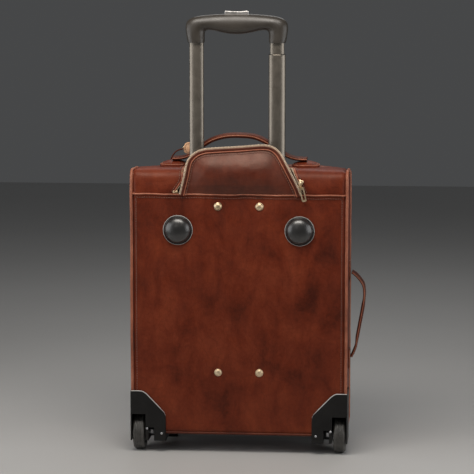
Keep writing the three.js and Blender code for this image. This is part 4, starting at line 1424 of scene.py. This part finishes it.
def make_studs():
    """The four domed rivets and the two round bumpers, with pale rims painted on as a highlight."""
    def stand(node):
        """A node's radius, and the matrix that stands a turned body on the rear face there."""
        low, high = box(node)
        place = Vector(((low.x + high.x) / 2, REAR, (low.z + high.z) / 2))
        return (high.x - low.x) / 2, Matrix.Translation(place) @ TO_REAR

    for level in ("upper", "lower"):
        for side, _ in SIDES:
            node = f"rivet_{level}_{side}"
            radius, matrix = stand(node)
            shank = [(0, -12 * MM), (2.5 * MM, -12 * MM), (2.5 * MM, -1 * MM), (0, -1 * MM)]
            parts = [dome(radius, 3.6 * MM), dome(radius * 1.12, 0.9 * MM),
                     strip(turned(shank, 16), capped=False)]
            piece(node, placed(joined(parts), matrix), "brass", "case", (node,), smooth=50)
    for side, _ in SIDES:
        node = f"rear_bumper_{side}"
        r, matrix = stand(node)
        h = REAR - box(node)[0].y
        profile = [(0, -1.5 * MM)]
        profile += [(r - inset * MM, height * MM) for inset, height in
                    ((1, -1.5), (0.3, -0.2), (0, 1.2), (0.3, 2.4), (0.9, 2.9), (1.5, 2.5), (1.9, 2.2))]
        body, foot, steps = r - 2.3 * MM, 2.4 * MM, 14
        for angle in (math.pi / 2 * i / steps for i in range(steps)):
            profile.append((body * math.cos(angle) ** 0.92, foot + (h - foot) * math.sin(angle)))
        profile.append((0, h))
        piece(node, placed(strip(turned(profile, 72), capped=False), matrix), "gloss_black", "case",
              (node,), smooth=40)
        # painted highlight: a pale ring round the bumper stands in for the light caught by its rim
        rim = [(r + 0.1 * MM + a, 1.3 * MM + b) for a, b in circle(0.55 * MM, 8)]
        rings = [[Vector((reach * math.cos(t), reach * math.sin(t), z)) for reach, z in rim]
                 for t in turns(72)]
        piece(f"{node}_rim", placed(ring_body(rings), matrix), "rim", "case")


def make_guards():
    for name, side in SIDES:

        def spot(reach, z):
            """A place on the guard's rear face: its reach in mm out from the guard's inner edge."""
            return Vector((MID + side * (GUARD_INNER + reach * MM), GUARD_LOW.y, z))

        guard, foot, bolt = (f"{part}_{name}" for part in ("corner_guard", "front_foot", "axle_bolt"))
        refined(guard, f"{guard}_moulding", "black", "case", 1.0 * MM, 3, 30)
        top = GUARD_HIGH.z
        # painted highlight: a pale bead along the guard's top and sloping edge, thinning towards its lower
        # end where the catch-light fades
        edge = [((HALF + 1.2 * MM - GUARD_INNER) / MM, top), (44, top), (39, top - 1.0 * MM),
                (34, top - 4.2 * MM), (29, 97 * MM), (5, 72 * MM), (2, 68 * MM), (0.3, 64 * MM)]
        path = smooth_path([spot(reach, z - 0.1 * MM) + FORWARD * 0.9 * MM for reach, z in edge], 60)
        bead = sweep(path, circle(0.75 * MM, 10), FORWARD,
                     swell=lambda t: (max(0.25, min(1, (1 - t) * 4)),) * 2)
        piece(f"{guard}_edge", bead, "rim", "case")
        refined(foot, f"{foot}_moulding", "black", "case", 1.4 * MM, 3, 30)
        refined(bolt, f"{bolt}_steel", "steel", "case", 0.5 * MM, 2, 30)
        head = dome(2.0 * MM, 1.3 * MM, sides=24)
        heads = [placed(head, Matrix.Translation(spot(reach, height * MM)) @ TO_REAR)
                 for reach, height in ((32, 41), (7, 33))]
        piece(f"{guard}_screws", joined(heads), "steel", "case", smooth=50)


def make_wheels():
    """A ribbed tyre and a spoked hub on each side, turned round X."""
    ribs, spokes = 5, 6
    for name, _ in SIDES:
        low, high = box(f"tyre_{name}")
        radius, half = (high.z - low.z) / 2, (high.x - low.x) / 2
        hub_low, hub_high = box(f"hub_{name}")
        hub = (hub_high.z - hub_low.z) / 2
        matrix = Matrix.Translation((low + high) / 2) @ TO_SIDE
        profile = [(hub + 0.2 * MM, -half + 0.6 * MM), (hub + 3 * MM, -half + 0.1 * MM),
                   (radius - 4 * MM, -half), (radius - 2.2 * MM, -half + 0.5 * MM),
                   (radius - 0.9 * MM, -half + 1.8 * MM)]
        wall = profile[:]
        wide = (2 * half - 5.2 * MM) / ribs
        for start in (-half + 2.6 * MM + k * wide for k in range(ribs)):
            profile += [(radius - drop * MM, start + wide * t)
                        for drop, t in ((0.75, 0), (0.1, 0.16), (0, 0.5), (0.1, 0.84), (0.75, 1))]
        profile += [(r, -z) for r, z in reversed(wall)]
        piece(f"tyre_{name}_ribbed", placed(ring_body(turned(profile, 96)), matrix), "rubber",
              f"{name}_wheel", (f"tyre_{name}",), smooth=50)

        shell = [(4.5 * MM, -half), (8.4 * MM, -half), (9.2 * MM, -half + 0.8 * MM),
                 (9.6 * MM, -half + 3.4 * MM), (10.6 * MM, -half + 4.4 * MM),
                 (hub - 4 * MM, -half + 4.4 * MM), (hub - 2.6 * MM, -half + 3.4 * MM),
                 (hub - 2.0 * MM, -half + 1.6 * MM),
                 (hub - 0.4 * MM, -half + 1.2 * MM)]
        shell += [(r, -z) for r, z in reversed(shell)]
        parts = [ring_body(turned(shell, 64))]
        reach = 0.5 * (9 * MM + hub - 2.5 * MM)
        spoke = soft_block(Vector((0, 0, 0)), ((hub - 11.5 * MM) / MM, 2.6, 3.0), 0.7)
        for angle in turns(spokes):
            for face in (-1, 1):
                place = Vector((reach * math.cos(angle), reach * math.sin(angle), face * (half - 3.8 * MM)))
                parts.append(placed(spoke, Matrix.Translation(place) @ Matrix.Rotation(angle, 4, "Z")))
        piece(f"hub_{name}_spoked", placed(joined(parts), matrix), "hub", f"{name}_wheel",
              (f"hub_{name}",), smooth=35)


# ---- pull handle -----------------------------------------------------------------------------------------


def powered(angle, power):
    """The cosine and sine of an angle, their sizes raised to a power, which squares off a circle."""
    c, d = math.cos(angle), math.sin(angle)
    return math.copysign(abs(c) ** power, c), math.copysign(abs(d) ** power, d)


def tube_section(wide, deep):
    """A flat oval: its curve tightens smoothly from the long faces round the ends."""
    return [(a * wide / 2, b * deep / 2) for a, b in (powered(angle, 0.86) for angle in turns(56))]


def make_tube(node, name, wall, body):
    """One hollow oval stage of the pull handle, with broken edges at both ends."""
    low, high = box(node)
    middle = (low + high) / 2
    wide, deep = high.x - low.x, high.y - low.y
    outer, bore = tube_section(wide, deep), tube_section(wide - 2 * wall, deep - 2 * wall)
    levels = [low.z + 0.6 * MM, *between(low.z + 1.4 * MM, high.z - 1.4 * MM, 10), high.z - 0.6 * MM]
    rings = []
    for (ox, oy), (ix, iy) in zip(outer, bore):
        ring = [(ox * 0.97, oy * 0.95, low.z)] + [(ox, oy, z) for z in levels]
        ring += [(ox * 0.97, oy * 0.95, high.z), (ix, iy, high.z), (ix, iy, low.z)]
        rings.append([Vector((middle.x + x, middle.y + y, z)) for x, y, z in ring])
    piece(name, ring_body(rings), "tube", body, (node,), smooth=40)


# Half of the grip's front view from the left leg's foot to the middle of the bar, in millimetres from the
# grip's middle and its top: outer edge, then the inner edge opposite it.
GRIP_EDGES = (
    ((-82.2, -48.4), (-53.8, -48.4)), ((-83.6, -41), (-53.7, -41)), ((-85.0, -32), (-53.6, -33.5)),
    ((-85.8, -23), (-52.4, -29.6)), ((-83.6, -13.6), (-48.8, -27.6)), ((-76.0, -7.2), (-43.4, -27.4)),
    ((-64.0, -3.9), (-37.0, -28.4)), ((-48.0, -2.0), (-28.5, -30.4)), ((-27.0, -0.6), (-15.5, -33.0)),
    ((0.0, 0.0), (0.0, -34.2)))


def make_grip():
    """The moulded grip: a plump body round one U-shaped line, with a seam between its two shells."""
    low, high = box("grip_rear_shell")
    front = box("grip_front_shell")[1]
    top = Vector(((low.x + high.x) / 2, (low.y + front.y) / 2, high.z))
    deep = front.y - low.y
    pairs = list(GRIP_EDGES) + [((-a[0], a[1]), (-b[0], b[1])) for a, b in reversed(GRIP_EDGES[:-1])]
    edges = [smooth_path([Vector((pair[k][0], 0, pair[k][1])) * MM for pair in pairs], 110) for k in (0, 1)]
    rings = []
    for i, (outer, inner) in enumerate(zip(*edges)):
        core, half = top + (outer + inner) / 2, (outer - inner) / 2
        along = min(i, len(edges[0]) - 1 - i)
        trim = 0.955 + 0.045 * clamp(along / 3) ** 0.5
        power = 0.80 + 0.18 * ease(along / 16)
        ring = []
        for a, b in (powered(angle, power) for angle in turns(40)):
            groove = 1 - 0.035 * math.exp(-(b * deep / 2 / (0.7 * MM)) ** 2)
            ring.append(core + half * (a * groove * trim) + FORWARD * (b * deep / 2 * trim))
        rings.append(ring)
    piece("grip_moulding", strip(rings), "grip", "pull_handle",
          ("grip_rear_shell", "grip_front_shell"), smooth=50)


def make_pull_handle():
    for name, _ in SIDES:
        outer, mid, inner, rod = (f"{part}_{name}"
                                  for part in ("outer_tube", "mid_tube", "inner_tube", "pull_rod"))
        refined(outer, f"{outer}_metal", "tube", "case", 0.4 * MM, 2, 40)
        make_tube(mid, f"{mid}_metal", 1.5 * MM, f"{name}_stage")
        make_tube(inner, f"{inner}_metal", 1.2 * MM, "pull_handle")
        refined(rod, f"{rod}_steel", "steel", "release_button", 0.2 * MM, 1, 30)
        low, high = box(mid)
        inner_low, inner_high = box(inner)
        wide, deep = high.x - low.x, high.y - low.y
        bore_wide, bore_deep = inner_high.x - inner_low.x, inner_high.y - inner_low.y
        rim = rounded(wide - 0.4 * MM, deep - 0.4 * MM, deep / 2 - 1.8 * MM, 6)
        bore = rounded(bore_wide + 0.5 * MM, bore_deep + 0.5 * MM, bore_deep / 2 - 1.3 * MM, 6)
        base = Vector(((low.x + high.x) / 2, (low.y + high.y) / 2, high.z))
        rings = []
        for (ox, oy), (ix, iy) in zip(rim, bore):
            rings.append([base + Vector((x, y, z * MM)) for x, y, z in
                          ((ox, oy, 0.1), (ox, oy, 0.25), (ox * 0.95, oy * 0.93, 0.35), (ix, iy, 0.35),
                           (ix, iy, -4), (ix * 1.03, iy * 1.03, 0.1))])
        piece(f"{mid}_bush", ring_body(rings), "black", f"{name}_stage", smooth=40)
    make_grip()
    refined("button", "release_button_cap", "chrome", "release_button", 0.7 * MM, 3, 40)
    spring = refined("button_spring", "release_spring", "steel", None, 0.05 * MM, 1, 60)
    low, high = box("button_spring")
    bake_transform(spring)
    for node in ("well_floor", "upper_bracket", "lower_bracket"):
        refined(node, f"{node}_moulding", "black", "case", 0.6 * MM, 2, 30)


# ---- carry handles and luggage tag -----------------------------------------------------------------------


def patch(node, middle, size, turn, bulge=0.0):
    """A stitched leather patch over padding: size along X, Y and thickness along Z, domed by bulge."""
    wide, long, thick = size
    radius = 9 * MM

    def raised(x, y, z):
        swell = (1 - (2 * x / wide) ** 2) * (1 - (2 * y / long) ** 2)
        return Vector((x, y, z + bulge * max(swell, 0) ** 0.7))

    rings = [[Vector((x, y, 0)) for x, y in rounded(wide, long, radius, 7)]]
    for z, inset in ((0.5, 0.0), (0.8, 0.3 * MM), (1.0, 1.0 * MM)):
        rings.append([raised(x, y, z * thick) for x, y in
                      rounded(wide - 2 * inset, long - 2 * inset, radius - inset, 7)])
    for grow in (0.88, 0.78, 0.68, 0.56, 0.44, 0.32, 0.2, 0.08):
        rings.append([raised(x * grow, y * grow, thick) for x, y in rounded(wide, long, radius, 7)])
    matrix = Matrix.Translation(middle) @ turn
    up = matrix.to_3x3() @ UP
    piece(node, placed(strip(rings), matrix), "leather", "case", (node,))
    trim = [matrix @ raised(x, y, thick * 0.9)
            for x, y in rounded(wide - 0.8 * MM, long - 0.8 * MM, radius, 7)]
    piece(node + "_edge", sweep(trim, circle(0.75 * MM, 8), up, closed=True),
          "leather_edge_highlight", "case")
    row = [matrix @ raised(x, y, thick) for x, y in
           rounded(wide - 6.4 * MM, long - 6.4 * MM, radius - 3.2 * MM, 5)]
    stitches(node + "_stitching", [row + [row[0]]], up, "case", spacing=3.4 * MM, length=2.4 * MM)


def make_handle(name, node, points, width, thick, padded, edge_out):
    """A carry handle along a curve: a strap with a padded middle, edge beads and stitching."""
    path = smooth_path(points, 90)
    stations = []
    for i, (point, way) in enumerate(zip(path, tangents(path, False))):
        t = i / (len(path) - 1)
        pad = ease((t - padded[0]) / 0.08) * ease((padded[1] - t) / 0.08)
        side = (FORWARD - way * FORWARD.dot(way)).normalized()
        stations.append((point, side, side.cross(way), pad))
    rings = []
    for point, side, out, pad in stations:
        section = rounded(width * (1 - 0.10 * pad), thick * (0.78 + 0.22 * pad), thick * 0.34, 5)
        rings.append([point + side * a
                      + out * (b * (1 + 0.34 * pad * (1 - min(1, abs(a) / (width / 2)) ** 2)))
                      for a, b in section])
    handle = piece(name, strip(rings), "leather_dark", "case", (node,), smooth=70)
    beads, rows = [], []
    for sign in (-1, 1):
        edge, row = [], []
        for point, side, out, pad in stations:
            half = width * (1 - 0.10 * pad) / 2
            edge.append(point + side * (sign * half))
            row.append(point + side * (sign * (half - 3.2 * MM))
                       + out * (edge_out * thick * (0.39 + 0.16 * pad)))
        beads.append(sweep(edge, circle(0.9 * MM, 8), FORWARD))
        rows.append(row[3:-3])
    piece(name + "_edges", joined(beads), "leather_edge_highlight", "case")

    def outward(p):
        return min(stations, key=lambda station: (station[0] - p).length_squared)[2] * edge_out

    stitches(name + "_stitching", rows, outward, "case")


def make_carry_handles():
    """The handles on the top and on the side, each between two stitched patches."""
    sunk = 0.6 * MM    # how far a patch's foot lies in the leather
    low, high = box("top_handle")
    middle = (low + high) / 2
    rest, rise = low.z + 3 * MM, high.z - low.z - 6 * MM
    arch = ((-114, 0.15), (-104, 0.155), (-92, 0.20), (-80, 0.33), (-66, 0.57), (-48, 0.82), (-25, 0.97),
            (0, 1.0), (25, 0.95), (45, 0.77), (63, 0.54), (79, 0.29), (92, 0.185), (104, 0.155), (114, 0.15))
    points = [Vector((middle.x + x * MM, middle.y, rest + z * rise)) for x, z in arch]
    make_handle("top_carry_handle", "top_handle", points, high.y - low.y, 6.6 * MM, (0.16, 0.84), 1)
    for side, _ in SIDES:
        node = f"top_handle_patch_{side}"
        low, high = box(node)
        patch(node, Vector(((low.x + high.x) / 2, (low.y + high.y) / 2, low.z - sunk)),
              (high.x - low.x, high.y - low.y, high.z - low.z + 0.7 * MM), Matrix.Identity(4), bulge=7.5 * MM)

    low, high = box("side_handle")
    start, y = low.x + 2.5 * MM, (low.y + high.y) / 2
    line = ((0, 303), (3.5, 301), (10, 295), (16, 287.5), (20, 279.5), (21.5, 267), (20.5, 254), (17.5, 235),
            (13.5, 213), (10, 193), (7.5, 176), (4, 166), (0, 157))
    points = [Vector((start + x * MM, y, z * MM)) for x, z in line]
    make_handle("side_carry_handle", "side_handle", points, high.y - low.y, 5 * MM, (0.34, 0.84), -1)
    for end in ("upper", "lower"):
        node = f"side_handle_patch_{end}"
        low, high = box(node)
        patch(node, Vector((low.x - sunk, (low.y + high.y) / 2, (low.z + high.z) / 2)),
              (high.z - low.z, high.y - low.y, high.x - low.x + 0.7 * MM),
              Matrix.Rotation(math.pi / 2, 4, "Y"))


def make_tag():
    """The luggage tag on the side, with its strap and ring."""
    low, high = box("luggage_tag")
    middle = (low + high) / 2
    wide, tall, thick = high.x - low.x, high.z - low.z, high.y - low.y
    rings = []
    for y, inset in ((-0.5, 0.7), (-0.3, 0.15), (0, 0), (0.3, 0.15), (0.5, 0.7)):
        rings.append([middle + Vector((x + 0.6 * MM * math.sin(z / tall * 3),
                                       y * thick + 1.2 * MM * (x / wide) ** 2, z))
                      for x, z in rounded(wide - 2 * inset * MM, tall - 2 * inset * MM, (7 - inset) * MM, 8)])
    piece("luggage_tag_leather", strip(rings), "tan", "tag", ("luggage_tag",))
    for name, y, sign in (("rear", low.y, -1), ("front", high.y, 1)):
        row = [Vector((middle.x + x, y + sign * 0.05 * MM + 1.2 * MM * (x / wide) ** 2, middle.z + z))
               for x, z in rounded(wide - 5 * MM, tall - 5 * MM, 5 * MM, 6)]
        stitches(f"luggage_tag_stitching_{name}", [row + [row[0]]], FORWARD * sign,
                 "tag", spacing=3.2 * MM, length=2.2 * MM, thick=0.45 * MM)
    low_end, high_end = box("tag_strap")
    loop = [low_end + Vector((x, 5, z)) * MM for x, z in ((4, 0), (6.6, 8), (12, 15.5), (18, 19.5))]
    loop.append(Vector((high_end.x, (low_end.y + high_end.y) / 2, high_end.z - 2.4 * MM)))
    piece("tag_strap_leather", sweep(smooth_path(loop, 40), rounded(10 * MM, 2.2 * MM, 0.9 * MM, 4), FORWARD),
          "leather_dark", "case", ("tag_strap",))
    section = [(3.2 * MM + a, b) for a, b in circle(0.8 * MM, 8)]
    eye = ring_body([[Vector((reach * math.cos(t), y, reach * math.sin(t))) for reach, y in section]
                     for t in turns(28)])
    place = Vector((low.x + 1.6 * MM, middle.y, middle.z))
    piece("tag_ring", placed(eye, Matrix.Translation(place) @ Matrix.Rotation(0.5, 4, "Z")),
          "brass", "case")


# ---- build -----------------------------------------------------------------------------------------------

make_camera()
make_lights()
MAT = make_materials()
bpy.ops.mesh.primitive_plane_add(size=8)
ground = bpy.context.object
ground.name = "studio_ground"
ground.data.materials.append(MAT["floor"])

make_rear()
make_mouth_zip(make_wrap())
make_sides()
make_piping()
make_bottom()
make_lining()
make_sleeve()
make_well()
make_lid()
make_pocket()
make_main_zip()
make_lid_hinge()
make_cover()
make_zip_hardware()
make_studs()
make_guards()
make_wheels()
make_pull_handle()
make_carry_handles()
make_tag()
